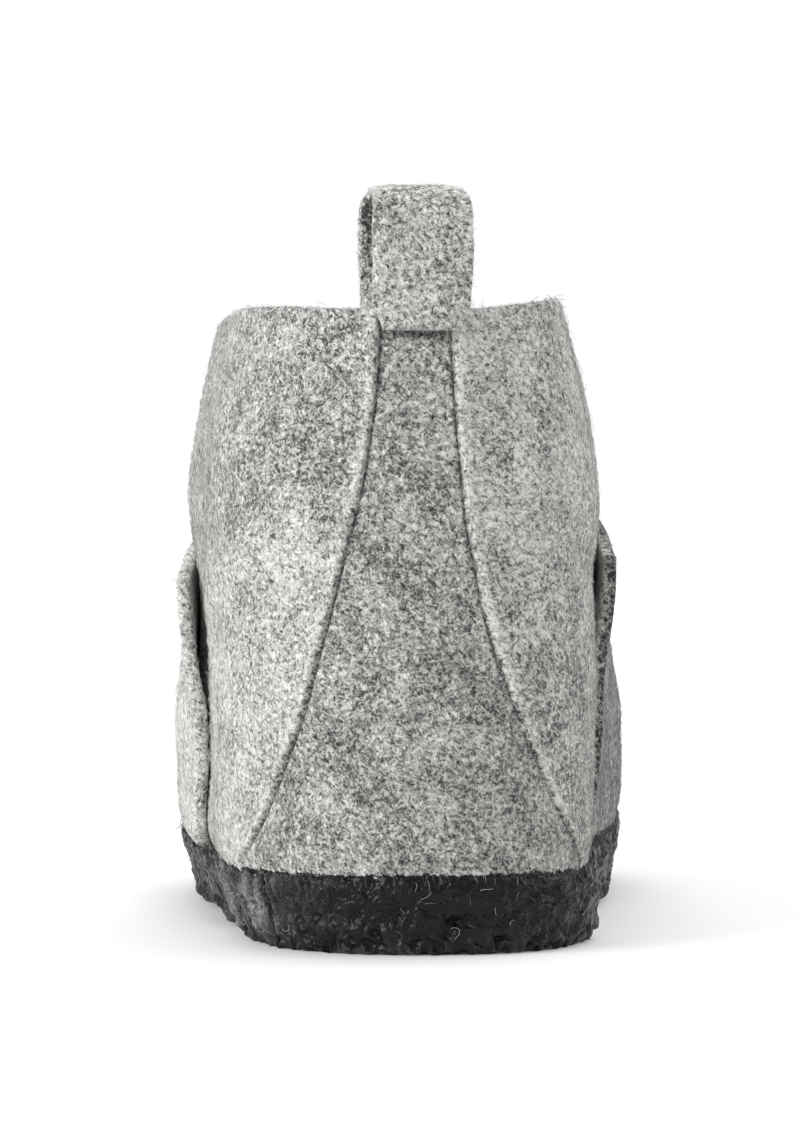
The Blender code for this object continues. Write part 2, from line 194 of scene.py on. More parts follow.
def wing_on(points, lengths, height):
    """How far round the vamp's free edge lies in a half ring."""
    part = np.clip((height - RUBBER_EDGE) / (WING_TOP - RUBBER_EDGE), 0.0, 1.0)
    along = WING_FOOT_ALONG + (WING_TOP_ALONG - WING_FOOT_ALONG) * part**2
    return np.interp(along - HEEL_REST_ALONG, points[:, 1], lengths)


grid_points = np.zeros((GRID_ROWS, GRID_TURNS, 3))
grid_whole, grid_seam, grid_wing = (np.zeros((2, GRID_ROWS)) for _ in range(3))
grid_places = np.arange(GRID_TURNS) * 2 / GRID_TURNS - 1.0
for row, height in enumerate(grid_heights):
    for side in (-1, 1):
        points, lengths = half_ring(height, side)
        mine = grid_places * side >= 0 if side > 0 else grid_places < 0
        for axis in range(3):
            arcs = np.abs(grid_places[mine]) * lengths[-1]
            grid_points[row, mine, axis] = np.interp(arcs, lengths, points[:, axis])
        index = int(side > 0)
        grid_whole[index, row] = lengths[-1]
        grid_seam[index, row] = seam_on(points, lengths, height)
        grid_wing[index, row] = wing_on(points, lengths, height)

# Wear has moved the foot of the sole towards the inner side, most at the heel
SOLE_ASIDE, ASIDE_TOP, ASIDE_FADES, ASIDE_ENDS = 2.6 * MM, 19 * MM, 70 * MM, 150 * MM
foot_share = fade(grid_heights, HEM, ASIDE_TOP)
back_share = fade(grid_points[..., 1], ASIDE_FADES, ASIDE_ENDS)
grid_points[..., 0] += SOLE_ASIDE * foot_share[:, None] * back_share

around = np.roll(grid_points, -1, axis=1) - np.roll(grid_points, 1, axis=1)
grid_normals = np.cross(around, np.gradient(grid_points, axis=0))
grid_normals[..., 2] *= smooth(grid_heights, RUBBER_EDGE, FLAT_NORMAL_END)[:, None]
grid_normals /= np.linalg.norm(grid_normals, axis=2, keepdims=True)


def look_up(grid, height, place):
    """Values of a grid: place runs from -1 at the front by 0 at the heel to 1 at the front."""
    row = np.clip((height - GRID_LOW) / GRID_STEP, 0.0, GRID_ROWS - 1.001)
    turn = ((place + 1.0) % 2.0) / 2.0 * GRID_TURNS
    low, left = row.astype(int), turn.astype(int) % GRID_TURNS
    up, across = (row - low)[..., None], (turn - turn.astype(int))[..., None]
    right = (left + 1) % GRID_TURNS
    lower = grid[low, left] * (1 - across) + grid[low, right] * across
    upper = grid[low + 1, left] * (1 - across) + grid[low + 1, right] * across
    return lower * (1 - up) + upper * up


def on_skin(height, place, offset=0.0):
    """Points at an offset from the skin of the last."""
    height, place, offset = np.broadcast_arrays(height, place, offset)
    away = offset[..., None] * look_up(grid_normals, height, place)
    return look_up(grid_points, height, place) + away


def by_side(tables, height, side):
    """A value that a table gives for each height, from the outer or the inner side's table."""
    outer = np.interp(height, grid_heights, tables[0])
    return np.where(side < 0, outer, np.interp(height, grid_heights, tables[1]))


def rough(points, size, seed=0.0):
    """Smooth random numbers from about -1 to 1, whose lumps are as wide as size."""
    flat = points.reshape(-1, 3) / size + seed
    return np.array([noise.noise(Vector(point)) for point in flat]).reshape(points.shape[:-1])


def rough_sum(points, layers):
    """Random numbers in layers, each given as its strength, its width in mm and its seed."""
    return sum(strength * rough(points, width * MM, seed) for strength, width, seed in layers)


print("grid of the skin:", grid_points.shape)

# %% [markdown]
# ## Camera, floor and light
#
# The slipper stands on white with a soft shadow. A long lens from behind and a little to the outer
# side keeps the verticals upright. Big lamps could light it, but their light would fade along the
# floor. Suns don't fade: with a wide angle they are as soft as large panels, and the floor stays
# evenly white. The key comes from the left, so the strip at the back, which faces the lens, is the
# darker middle between two lighter sides. The sky is brighter above than at the horizon, and the
# floor glows a little, so that white paper stays white beside grey felt.

# %% Camera
CAMERA_TURN = math.radians(-4.0)
CAMERA_DISTANCE = 1.2
CAMERA_HEIGHT = 105 * MM
CAMERA_LENS = 187.0
AIM_LEFT, AIM_HEIGHT = 4 * MM, 78 * MM
HEEL_BACK = Vector((0.0, -38 * MM, 0.0))


def add_object(name, data):
    """A new object in the scene, at the origin and unturned."""
    made = bpy.data.objects.new(name, data)
    bpy.context.collection.objects.link(made)
    return made


forward = Vector((-math.sin(CAMERA_TURN), math.cos(CAMERA_TURN), 0.0))
rightward = Vector((forward.y, -forward.x, 0.0))
aim = HEEL_BACK - rightward * AIM_LEFT + Vector((0.0, 0.0, AIM_HEIGHT))

camera_data = bpy.data.cameras.new("camera")
camera_data.sensor_width = 36.0
camera_data.lens = CAMERA_LENS
camera_data.clip_start, camera_data.clip_end = 0.05, 100.0
camera = add_object("camera", camera_data)
camera.location = HEEL_BACK - forward * CAMERA_DISTANCE + Vector((0.0, 0.0, CAMERA_HEIGHT))
camera.rotation_euler = (aim - camera.location).to_track_quat("-Z", "Y").to_euler()
bpy.context.scene.camera = camera
bpy.context.scene.view_settings.view_transform = "Standard"
print("camera at", [round(value, 3) for value in camera.location])


# %% Helpers for node trees
def add_node(tree, kind, inputs=None, **settings):
    """Adds a node, with its settings, and with inputs as values or as sockets to link."""
    made = tree.nodes.new(kind)
    for name, value in settings.items():
        setattr(made, name, value)
    for key, value in (inputs or {}).items():
        if isinstance(value, bpy.types.NodeSocket):
            tree.links.new(value, made.inputs[key])
        else:
            made.inputs[key].default_value = value
    return made


def maths(tree, operation, *values, clamp=False):
    """A Math node's result."""
    inputs = dict(enumerate(values))
    return add_node(tree, "ShaderNodeMath", inputs, operation=operation, use_clamp=clamp).outputs[0]


def remap(tree, value, low, high, new_low=0.0, new_high=1.0):
    """A Map Range node's result."""
    ends = {"From Min": low, "From Max": high, "To Min": new_low, "To Max": new_high}
    return add_node(tree, "ShaderNodeMapRange", {"Value": value, **ends}).outputs[0]


def new_material(name):
    """A material with an empty tree."""
    material = bpy.data.materials.new(name)
    material.use_nodes = True
    material.node_tree.nodes.clear()
    return material, material.node_tree


def add_surface(tree, inputs):
    """Closes a material's tree with a Principled BSDF and the output."""
    shader = add_node(tree, "ShaderNodeBsdfPrincipled", inputs)
    add_node(tree, "ShaderNodeOutputMaterial", {"Surface": shader.outputs[0]})


# %% Floor and light
FLOOR_REACH = 8.0
Sun = namedtuple("Sun", "name towards strength angle")
SUNS = [
    Sun("key", (-0.85, -0.48, 0.36), 2.3, 40),
    Sun("fill", (0.90, 0.30, 0.80), 0.7, 50),
    Sun("top", (0.05, 0.50, 1.0), 1.45, 45),
]
SKY_LOW, SKY_HIGH, SKY_TOP = 0.10, 0.85, 0.8
FLOOR_GLOW = 0.18

floor_mesh = bpy.data.meshes.new("floor")
corners = [(-1, -1), (1, -1), (1, 1), (-1, 1)]
floor_points = [(x * FLOOR_REACH, y * FLOOR_REACH, 0.0) for x, y in corners]
floor_mesh.from_pydata(floor_points, [], [(0, 1, 2, 3)])
floor = add_object("floor", floor_mesh)
paper, tree = new_material("white_paper")
add_surface(
    tree,
    {
        "Base Color": (0.7, 0.7, 0.7, 1), "Roughness": 0.9,
        "Emission Color": (1, 1, 1, 1), "Emission Strength": FLOOR_GLOW,
    },
)
floor_mesh.materials.append(paper)

for sun in SUNS:
    lamp = bpy.data.lights.new(sun.name, "SUN")
    lamp.energy, lamp.angle = sun.strength, math.radians(sun.angle)
    holder = add_object(sun.name, lamp)
    holder.rotation_euler = Vector(sun.towards).to_track_quat("Z", "Y").to_euler()

world = bpy.data.worlds.new("studio")
bpy.context.scene.world = world
world.use_nodes = True
tree = world.node_tree
tree.nodes.clear()
seen = add_node(tree, "ShaderNodeBackground", {"Color": (1, 1, 1, 1), "Strength": 1.0})
direction = add_node(tree, "ShaderNodeTexCoord").outputs["Generated"]
upwards = add_node(tree, "ShaderNodeSeparateXYZ", {0: direction}).outputs["Z"]
sky = remap(tree, upwards, 0.0, SKY_TOP, SKY_LOW, SKY_HIGH)
lit = add_node(tree, "ShaderNodeBackground", {"Color": (1, 1, 1, 1), "Strength": sky})
to_lens = add_node(tree, "ShaderNodeLightPath").outputs["Is Camera Ray"]
mix = add_node(tree, "ShaderNodeMixShader", {0: to_lens, 1: lit.outputs[0], 2: seen.outputs[0]})
add_node(tree, "ShaderNodeOutputWorld", {"Surface": mix.outputs[0]})
print("suns:", [sun.name for sun in SUNS])

# %% [markdown]
# ## Wool in the shader
#
# Grey felt is a tangle of white, grey and nearly black fibres. Three noise patterns, each stretched
# along its own direction and bent by a fourth, give strands that cross. The lightest of the three wins
# at each spot, as the fibre on top does. The group is built once, and each material sets how fine and
# how curly its strands are.


# %% Shader group: crossing strands
def new_group(name, kind, inputs, outputs):
    """A node group with its sockets, its tree, and its input and output nodes."""
    tree = bpy.data.node_groups.new(name, kind)
    for label, socket, default in inputs:
        made = tree.interface.new_socket(name=label, in_out="INPUT", socket_type=socket)
        if default is not None:
            made.default_value = default
    for label, socket in outputs:
        tree.interface.new_socket(name=label, in_out="OUTPUT", socket_type=socket)
    return tree, add_node(tree, "NodeGroupInput"), add_node(tree, "NodeGroupOutput")


def vector_maths(tree, operation, first, second):
    """A Vector Math node's result."""
    inputs = {0: first, "Scale" if operation == "SCALE" else 1: second}
    return add_node(tree, "ShaderNodeVectorMath", inputs, operation=operation).outputs[0]


def lumpy(tree, where, scale, detail):
    """A noise texture with about scale lumps to a metre."""
    inputs = {"Vector": where, "Scale": scale, "Detail": detail}
    return add_node(tree, "ShaderNodeTexNoise", inputs)


STRAND_TURNS = [(0.3, 0.9, 0.2), (1.2, -0.4, 0.8), (-0.9, 0.5, 2.1)]
BENDS_PER_METRE = 650.0
strands, given, result = new_group(
    "crossing_strands",
    "ShaderNodeTree",
    [
        ("Coordinates", "NodeSocketVector", None),
        ("Strands per metre", "NodeSocketFloat", 3000.0),
        ("Length ratio", "NodeSocketFloat", 7.0),
        ("Curl", "NodeSocketFloat", 0.0012),
    ],
    [("Strand", "NodeSocketFloat")],
)
bend = lumpy(strands, given.outputs["Coordinates"], BENDS_PER_METRE, 1.0)
centred = vector_maths(strands, "SUBTRACT", bend.outputs["Color"], (0.5, 0.5, 0.5))
bent = vector_maths(strands, "SCALE", centred, given.outputs["Curl"])
place = vector_maths(strands, "ADD", given.outputs["Coordinates"], bent)
along = maths(strands, "DIVIDE", 1.0, given.outputs["Length ratio"])
stretch = add_node(strands, "ShaderNodeCombineXYZ", {"X": 1.0, "Y": 1.0, "Z": along})
top = None
for turn in STRAND_TURNS:
    turned = add_node(
        strands, "ShaderNodeVectorRotate",
        {"Vector": place, "Rotation": turn}, rotation_type="EULER_XYZ",
    )
    drawn = vector_maths(strands, "MULTIPLY", turned.outputs[0], stretch.outputs[0])
    pattern = lumpy(strands, drawn, given.outputs["Strands per metre"], 0.0).outputs["Fac"]
    top = pattern if top is None else maths(strands, "MAXIMUM", top, pattern)
strands.links.new(remap(strands, top, 0.42, 0.82), result.inputs["Strand"])
print("group:", strands.name)

# %% [markdown]
# ### Felt
#
# The felt's colour is the sum of light strands, dark strands between them, small clots a millimetre
# or two wide, and wide clouds. The pieces also carry an attribute of painted shade and light, which
# darkens the strip and the seam's groove, lightens the seam's ridge, and shades the shoe's two sides.
# A ramp turns the sum into greys, and the same strands raise the surface a little through a Bump node.
# Sheen brightens the felt where it turns away.


# %% Felt material
def read_value(tree, name):
    """What a point attribute of the mesh says at each spot."""
    return add_node(tree, "ShaderNodeAttribute", attribute_name=name).outputs["Fac"]


def grey_ramp(tree, factor, stops, tint):
    """A ramp of greys, each multiplied by the tint."""
    ramp = add_node(tree, "ShaderNodeValToRGB", {"Fac": factor})
    while len(ramp.color_ramp.elements) < len(stops):
        ramp.color_ramp.elements.new(0.5)
    for element, (position, grey) in zip(ramp.color_ramp.elements, stops):
        element.position = position
        element.color = [grey * part for part in tint] + [1.0]
    return ramp.outputs["Color"]


def add_strands(tree, where, per_metre, length_ratio=7.0, curl=0.0012):
    """Places the group of crossing strands in a material."""
    inputs = {"Coordinates": where, "Strands per metre": per_metre}
    inputs.update({"Length ratio": length_ratio, "Curl": curl})
    return add_node(tree, "ShaderNodeGroup", inputs, node_tree=strands).outputs[0]


FELT_GREYS = [(0.0, 0.035), (0.25, 0.15), (0.5, 0.40), (0.75, 0.62), (1.0, 0.80)]
DARK_STRANDS_MOVED = (0.37, 0.11, 0.73)


def felt_material(name, lightness, contrast, warmth):
    """Heathered grey felt. Lightness shifts it, contrast parts its fibres."""
    material, tree = new_material(name)
    where = add_node(tree, "ShaderNodeTexCoord").outputs["Object"]
    light = add_strands(tree, where, 2600.0, 4.5, 0.002)
    moved = vector_maths(tree, "ADD", where, DARK_STRANDS_MOVED)
    dark = add_strands(tree, moved, 1500.0, 2.5, 0.002)
    clots, clouds = lumpy(tree, where, 750.0, 2.0), lumpy(tree, where, 130.0, 2.0)
    total = maths(tree, "MULTIPLY", light, 0.5 * contrast)
    total = maths(tree, "MULTIPLY_ADD", dark, -0.6 * contrast, total)
    total = maths(tree, "MULTIPLY_ADD", clots.outputs["Fac"], 1.0 * contrast, total)
    total = maths(tree, "MULTIPLY_ADD", clouds.outputs["Fac"], 0.7, total)
    total = maths(tree, "ADD", total, lightness - 0.35 - 0.45 * contrast)
    # The pieces' painted shade and light, added to the felt's colour
    total = maths(tree, "ADD", total, read_value(tree, "tone"))
    raised = maths(tree, "MULTIPLY_ADD", dark, -0.8, light)
    bump = add_node(tree, "ShaderNodeBump", {"Height": raised, "Strength": 0.7, "Distance": 0.35 * MM})
    tint = (1 + warmth, 1 + 1.3 * warmth, 1 - 2 * warmth)
    add_surface(
        tree,
        {
            "Base Color": grey_ramp(tree, total, FELT_GREYS, tint), "Normal": bump.outputs[0],
            "Roughness": 0.95, "Sheen Weight": 0.25, "Sheen Roughness": 0.5,
            "Specular IOR Level": 0.15,
        },
    )
    return material


light_felt = felt_material("mottled_felt", 0.58, 1.0, 0.014)
footbed_felt = felt_material("pressed_felt", 0.46, 0.9, 0.014)
print("felts:", light_felt.name, footbed_felt.name)

# %% [markdown]
# ## Sheets of felt
#
# Felt is a thick sheet, so each felt piece is drawn as two skins, half a thickness to either side of
# a middle surface. Towards a cut edge the two skins come together along a quarter of a rounded
# square, which leaves a face as broad as the felt with soft corners. That needs close rows near the
# edge. A Solidify and a Bevel modifier could do it too, but not with a thickness that changes.

# %% Building a sheet
CUT_ROUND = 1.1 * MM
CUT_SQUARENESS = 2.6
RIM_DEPTH = 2.1 * MM
SHARP_ANGLE = math.radians(50)


def cut_share(distance, reach=CUT_ROUND):
    """How much of its half thickness the felt has at a distance from a cut edge."""
    left = 1.0 - np.clip(distance / reach, 0.0, 1.0)
    return (1.0 - left**CUT_SQUARENESS) ** (1.0 / CUT_SQUARENESS)


def add_piece(name, points, faces, material, values=None, sharp=SHARP_ANGLE):
    """A closed mesh piece, its doubles merged and its faces turned outwards, with its point values."""
    mesh = bpy.data.meshes.new(name)
    mesh.from_pydata(points.reshape(-1, 3).tolist(), [], faces)
    for label, numbers in (values or {}).items():
        layer = mesh.attributes.new(label, "FLOAT", "POINT")
        layer.data.foreach_set("value", np.asarray(numbers, float).ravel())
    shape = bmesh.new()
    shape.from_mesh(mesh)
    bmesh.ops.remove_doubles(shape, verts=shape.verts, dist=0.002 * MM)
    bmesh.ops.dissolve_degenerate(shape, edges=shape.edges, dist=0.001 * MM)
    bmesh.ops.recalc_face_normals(shape, faces=shape.faces)
    open_edges = sum(not edge.is_manifold for edge in shape.edges)
    shape.to_mesh(mesh)
    shape.free()
    mesh.materials.append(material)
    mesh.shade_smooth()
    mesh.set_sharp_from_angle(angle=sharp)
    print(f"{name}: {len(mesh.polygons)} faces, {open_edges} open edges")
    return add_object(name, mesh)


def grid_faces(rows, count, closed, start=0):
    """Four-sided faces of a grid of points, its columns joined into a ring where closed."""
    across = count if closed else count - 1
    return [
        (
            start + row * count + column,
            start + row * count + (column + 1) % count,
            start + (row + 1) * count + (column + 1) % count,
            start + (row + 1) * count + column,
        )
        for row in range(rows - 1)
        for column in range(across)
    ]


def felt_sheet(name, height, place, middle, half, closed, material, values):
    """A sheet of felt: middle is its offset from the skin, half is half its thickness."""
    outer = on_skin(height, place, middle + half)
    inner = on_skin(height, place, middle - half)
    rows, count = height.shape
    faces = grid_faces(rows, count, closed)
    faces += [face[::-1] for face in grid_faces(rows, count, closed, rows * count)]
    both = {label: np.concatenate(pair) for label, pair in values.items()}
    return add_piece(name, np.concatenate([outer, inner]), faces, material, both)


def sheet_heights(tops, first, count, rim_steps):
    """Heights of a sheet's points: close rows at the hem and at the rim, even rows between."""
    rising = np.concatenate([[0.0, 0.004, 0.01], np.linspace(first, 1.0, count)])
    height = HEM + (tops - RIM_DEPTH - HEM)[None, :] * rising[:, None]
    return np.concatenate([height, tops[None, :] - np.array(rim_steps)[:, None] * MM])


print("rounding of cut edges:", CUT_ROUND / MM, "mm")

# %% [markdown]
# ## The upper
#
# Two quarters and the strip between them are sewn with their allowances turned in, so along each seam
# the quarter stands up in a ridge and the strip lies a little lower, past a narrow dark groove. The
# columns of the mesh follow the two seams down, close together there, so the groove is crisp. Hands
# and wear leave soft folds, a collar that waves a little, and sides pressed in beside the vamp. Each
# fold is drawn as a line in the shoe's own sizes, with a width and a height, and added to the offset
# from the skin. The groove's shadow is painted as a broken dark line, in the colour alone.

# %% Seams and folds of the upper
QUARTER_FELT, LINING_FELT, THROAT_TOP = 3.4 * MM, 1.9 * MM, 118.0 * MM
SEAM_BEFORE, SEAM_AFTER = 2.2 * MM, 3.8 * MM
Fold = namedtuple("Fold", "side start end width relief")
# side, start and end as (how far round from the back, height), width and relief, all in mm
UPPER_FOLDS = [
    Fold(-1, (16, 87), (84, 73), 7.0, 1.1),
    Fold(-1, (20, 76), (78, 62), 7.0, -0.8),
    Fold(-1, (18, 112), (60, 121), 9.0, -0.7),
    Fold(-1, (34, 44), (66, 30), 9.0, 0.6),
    Fold(1, (26, 98), (84, 88), 8.0, 0.7),
    Fold(1, (30, 86), (80, 76), 6.0, -0.6),
    Fold(1, (44, 60), (88, 48), 7.0, 0.5),
    Fold(1, (20, 116), (52, 124), 8.0, -0.5),
]


def fold_relief(folds, side, arc, height):
    """The sum of the folds at a spot: each fades across its width and beyond its ends."""
    total = np.zeros(np.broadcast(arc, height).shape)
    for fold in folds:
        start, end = np.array(fold.start) * MM, np.array(fold.end) * MM
        run = end - start
        length = np.linalg.norm(run)
        part = ((arc - start[0]) * run[0] + (height - start[1]) * run[1]) / length**2
        away = ((arc - start[0]) * run[1] - (height - start[1]) * run[0]) / length
        ends = smooth(part, -0.15, 0.25) * fade(part, 0.7, 1.15)
        total += (side == fold.side) * fold.relief * MM * hump(away, 0.0, fold.width * MM) * ends
    return total


def seam_relief(side, beyond, height):
    """Relief across a strip's seam, beyond being the distance from it towards the quarter."""
    crisp = np.where(side < 0, 1.0, 0.45 + 0.55 * smooth(height, 45 * MM, 80 * MM))
    strip = -0.55 * MM * fade(beyond, -0.4 * MM, 0.3 * MM)
    groove = -0.75 * MM * crisp * hump(beyond, -0.2 * MM, 0.34 * MM)
    ridge = np.where(side < 0, 0.7, 0.4) * MM * hump(beyond, 1.25 * MM, 1.0 * MM)
    return (strip + groove + ridge) * smooth(height, 14 * MM, 19 * MM)


PRESSED_OUTER, PRESSED_INNER = 2.3 * MM, 3.0 * MM


def press(side, arc, wing, height):
    """How far the worn sides are pressed in beside the vamp's free edge."""
    near = smooth(arc, wing - 48 * MM, wing - 6 * MM)
    near = near * fade(arc, wing + 4 * MM, wing + 20 * MM)
    foot = smooth(height, 16 * MM, np.where(side < 0, 34, 24) * MM)
    middle = np.where(side < 0, 54, 46) * MM
    tall = hump(height, middle, 38 * MM) * foot * fade(height, 80 * MM, 100 * MM)
    return np.where(side < 0, -PRESSED_OUTER, -PRESSED_INNER) * near * tall


print("folds of the upper:", len(UPPER_FOLDS))

# %% The upper's rows and columns
VAMP_FELT, LAP_GAP = 3.1 * MM, 0.7 * MM
WING_CORNER, COLLAR_ROUND = 3.5 * MM, 1.75 * MM
Wing = namedtuple("Wing", "top flare")
WINGS = {-1: Wing(86.0 * MM, 1.2 * MM), 1: Wing(92.0 * MM, 1.8 * MM)}


def vamp_top(side, share):
    """Height of the vamp's top edge, share running from 0 at the wing's edge to 1 at the front."""
    corner = np.where(side < 0, WINGS[-1].top, WINGS[1].top)
    share = np.clip(share, 0.0, 1.0)
    rise = (THROAT_TOP - corner) * smooth(share, 0.0, 1.0) ** 0.8
    return corner + rise - WING_CORNER * (1 - share) ** 8


# Columns: from the back to the seam, close together across it, on to the wing, and to the front
seam_steps = np.array([-1.6, -1.1, -0.7, -0.45, -0.2, 0.05, 0.35, 0.75, 1.3, 2.0, 2.8])
seam_steps = seam_steps * MM + SEAM_BEFORE
half_steps = np.concatenate(
    [
        np.linspace(0.0, 1.0, 15),
        1.0 + seam_steps / (SEAM_BEFORE + SEAM_AFTER),
        np.linspace(2.0, 3.0, 46),
        np.linspace(3.0, 4.0, 23)[1:],
    ]
)
steps = np.concatenate([half_steps[::-1], half_steps[1:-1]])
sides = np.concatenate([-np.ones(len(half_steps)), np.ones(len(half_steps) - 2)])

# The collar's wave on each side: how far round, and how much higher or lower, in mm
RIM_WAVES = {
    -1: ([0, 12, 25, 40, 55, 80, 110, 150], [1.8, 1.8, 1.0, -0.6, -2.2, -2.8, -2.0, 0.0]),
    1: ([0, 18, 28, 40, 52, 64, 78, 110, 150], [1.8, 1.8, 1.6, 0.8, 0.1, -1.5, -3.0, -2.4, 0.0]),
}
RIM_BELOW_COLLAR = 0.4 * MM
rim_arc = np.interp(steps, [0, 1, 2, 3, 4], [0, 6, 12, 100, 150])
outer_wave, inner_wave = (np.interp(rim_arc, *RIM_WAVES[one]) for one in (-1, 1))
rim_wave = np.where(sides < 0, outer_wave, inner_wave) * MM
tops = COLLAR_HEIGHT - RIM_BELOW_COLLAR + rim_wave
height = sheet_heights(tops, 0.02, 86, [1.7, 1.3, 0.92, 0.58, 0.3, 0.11, 0.0])
side = np.broadcast_to(sides, height.shape)
print("rows and columns of the upper:", height.shape)

# %% Where each point of the upper lies, and how far off the last
seam, wing, whole = (by_side(tables, height, side) for tables in (grid_seam, grid_wing, grid_whole))
# No seam is sewn quite true: it wanders, and drifts to one side at half height
SEAM_WANDER, OUTER_DRIFT, INNER_DRIFT = 0.35 * MM, 2.6, -2.3
wander = SEAM_WANDER * rough(np.stack([side * 3.0, height * 0, height], axis=-1), 14 * MM)
drift = np.where(side < 0, OUTER_DRIFT, INNER_DRIFT) * MM * hump(height, 66 * MM, 34 * MM)
seam = seam + wander + drift
knots = np.stack([np.zeros(height.shape), seam - SEAM_BEFORE, seam + SEAM_AFTER, wing, whole])
index = np.minimum(steps.astype(int), 3)
columns = np.arange(len(steps))
before, after = knots[index, :, columns].T, knots[index + 1, :, columns].T
arc = before + (steps - index) * (after - before)
place = side * arc / whole
base = on_skin(height, place)

hollow = press(side, arc, wing, height)
relief = seam_relief(side, arc - seam, height)
relief += fold_relief(UPPER_FOLDS, side, arc, height)
relief += 0.45 * MM * hump(height, 21 * MM, 5 * MM) * smooth(height, 15 * MM, 18 * MM)
relief += rough_sum(base, [(0.42, 26, 5.0), (0.16, 7, 9.0)]) * MM
relief *= fade(arc, wing - 3 * MM, wing + 4 * MM)
thin = smooth(arc, wing + 6 * MM, wing + 26 * MM) * fade(height, WING_TOP, THROAT_TOP)
felt = QUARTER_FELT + (LINING_FELT - QUARTER_FELT) * thin
inside = -felt + 0.25 * MM * rough(base, 18 * MM, 2.0)
share = cut_share(np.minimum(tops[None, :] - height, height - HEM), COLLAR_ROUND)
middle, half = (relief + inside) / 2 + hollow, (relief - inside) / 2 * share
print("deepest press in mm:", round(hollow.min() / MM, 1))

# %% Painted shade and light of the upper
# Painted shade on the strip, in the seam's groove and under the loop's foot, painted light on the
# seam's ridge, and painted light and shade on the two sides
STRIP_PAINTED_SHADE, RIDGE_PAINTED_LIGHT, GROOVE_PAINTED_SHADE, LOOP_FOOT_PAINTED_SHADOW = -0.125, 0.11, -0.42, -0.40
OUTER_SIDE_PAINTED_LIGHT, INNER_SIDE_PAINTED_SHADE, OUTER_TOP_PAINTED_SHADE, INNER_FOOT_PAINTED_SHADE = 0.02, -0.01, -0.13, -0.09
LOOP_FOOT_LINE = 126.7 * MM
beyond = arc - seam
# How strong the painted shadow in the seam's groove is, broken along the seam
groove_shade_strength = 0.62 + 0.9 * rough(np.stack([side * 5.0, height * 0, height], axis=-1), 2.6 * MM, 4.0)
groove_shade_strength = np.clip(groove_shade_strength, 0.15, 1.0)
# Painted shade on the strip
tone = STRIP_PAINTED_SHADE * fade(beyond, -0.6 * MM, 0.4 * MM)
# Painted light on the seam's ridge
tone = tone + RIDGE_PAINTED_LIGHT * hump(beyond, 1.3 * MM, 0.9 * MM)
above_rubber = smooth(height, 17 * MM, 22 * MM)
# Painted shadow in the seam's groove
tone += GROOVE_PAINTED_SHADE * groove_shade_strength * hump(beyond, -0.2 * MM, 0.32 * MM) * above_rubber
# The painted light and shade of the two sides fade out before they meet at the front
one_side = smooth(beyond, 0.0, 4 * MM) * smooth(whole - arc, 0.0, 45 * MM)
tone += np.where(side < 0, OUTER_SIDE_PAINTED_LIGHT, INNER_SIDE_PAINTED_SHADE) * one_side
# Painted shade on the outer side above the fold's crest, and low on the inner side
crest = np.interp(arc, [14 * MM, 80 * MM], [88 * MM, 75 * MM])
above_crest = smooth(height, crest - 2 * MM, crest + 9 * MM)
tone += np.where(side < 0, OUTER_TOP_PAINTED_SHADE, 0.0) * above_crest * one_side
tone += np.where(side > 0, INNER_FOOT_PAINTED_SHADE, 0.0) * fade(height, 50 * MM, 96 * MM) * one_side
# Painted shadow under the loop's foot, across the strip
on_strip = fade(beyond, -0.8 * MM, -0.2 * MM)
tone += LOOP_FOOT_PAINTED_SHADOW * hump(height, LOOP_FOOT_LINE, 0.45 * MM) * on_strip
print("tones of the upper:", round(tone.min(), 2), "to", round(tone.max(), 2))

# %% The upper's piece
# Its wool grows where neither the vamp nor the rubber covers the felt, and thinly in the groove
vamp_above = vamp_top(side, (arc - wing) / (whole - wing)) - 1 * MM
open_skin = (arc < wing + 1 * MM) | (height > vamp_above)
grown = open_skin * smooth(height, 16.6 * MM, 18 * MM)
groove = 1.0 - 0.9 * hump(beyond, -0.25 * MM, 0.5 * MM)
blank = np.zeros(height.shape)
felt_upper = felt_sheet(
    "felt_upper", height, place, middle, half, True, light_felt,
    {
        "tone": (tone, blank),
        "grow_strip": (grown * groove * (beyond < 0), blank),
        "grow_outer": (grown * groove * (beyond >= 0) * (side < 0), blank),
        "grow_inner": (grown * groove * (beyond >= 0) * (side > 0), blank),
        "grow_loose": (grown * groove * (arc < 100 * MM), blank),
        "grow_lining": (blank, smooth(height, 60 * MM, 110 * MM)),
    },
)
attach(felt_upper, "root")
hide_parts("upper")

# %% [markdown]
# ## The vamp
#
# The front piece wraps the toe, and its two wings lap over the quarters. The wings are cut, not
# hemmed, so their thick edges show, and near the top they stand off a little. Walking bends the
# slipper across the ball of the foot, which leaves a few soft creases there.

# %% The vamp's rows and columns
FLARE_HEIGHT, FLARE_SPREAD, FLARE_REACH = 74.0 * MM, 15.0 * MM, 17.0 * MM
INNER_BULGE = 1.2 * MM
VAMP_FOLDS = [
    Fold(-1, (150, 26), (236, 66), 5.0, -0.7),
    Fold(-1, (160, 30), (240, 62), 5.0, 0.5),
    Fold(-1, (178, 28), (250, 58), 4.5, -0.6),
    Fold(1, (146, 26), (232, 66), 5.0, -0.6),
    Fold(1, (158, 30), (238, 62), 5.0, 0.5),
    Fold(1, (176, 28), (246, 58), 4.5, -0.7),
    Fold(-1, (150, 96), (205, 92), 7.0, -0.8),
    Fold(1, (150, 98), (205, 94), 7.0, -0.7),
]
EDGE_STEPS = np.array([0.0, 0.1, 0.28, 0.55, 0.85, 1.15, 2.0, 3.2]) * MM
NEAR_WHOLE = 240 * MM
half_shares = np.concatenate([EDGE_STEPS / NEAR_WHOLE, np.linspace(0.02, 1.0, 56)])
shares = np.concatenate([half_shares, half_shares[-2::-1]])
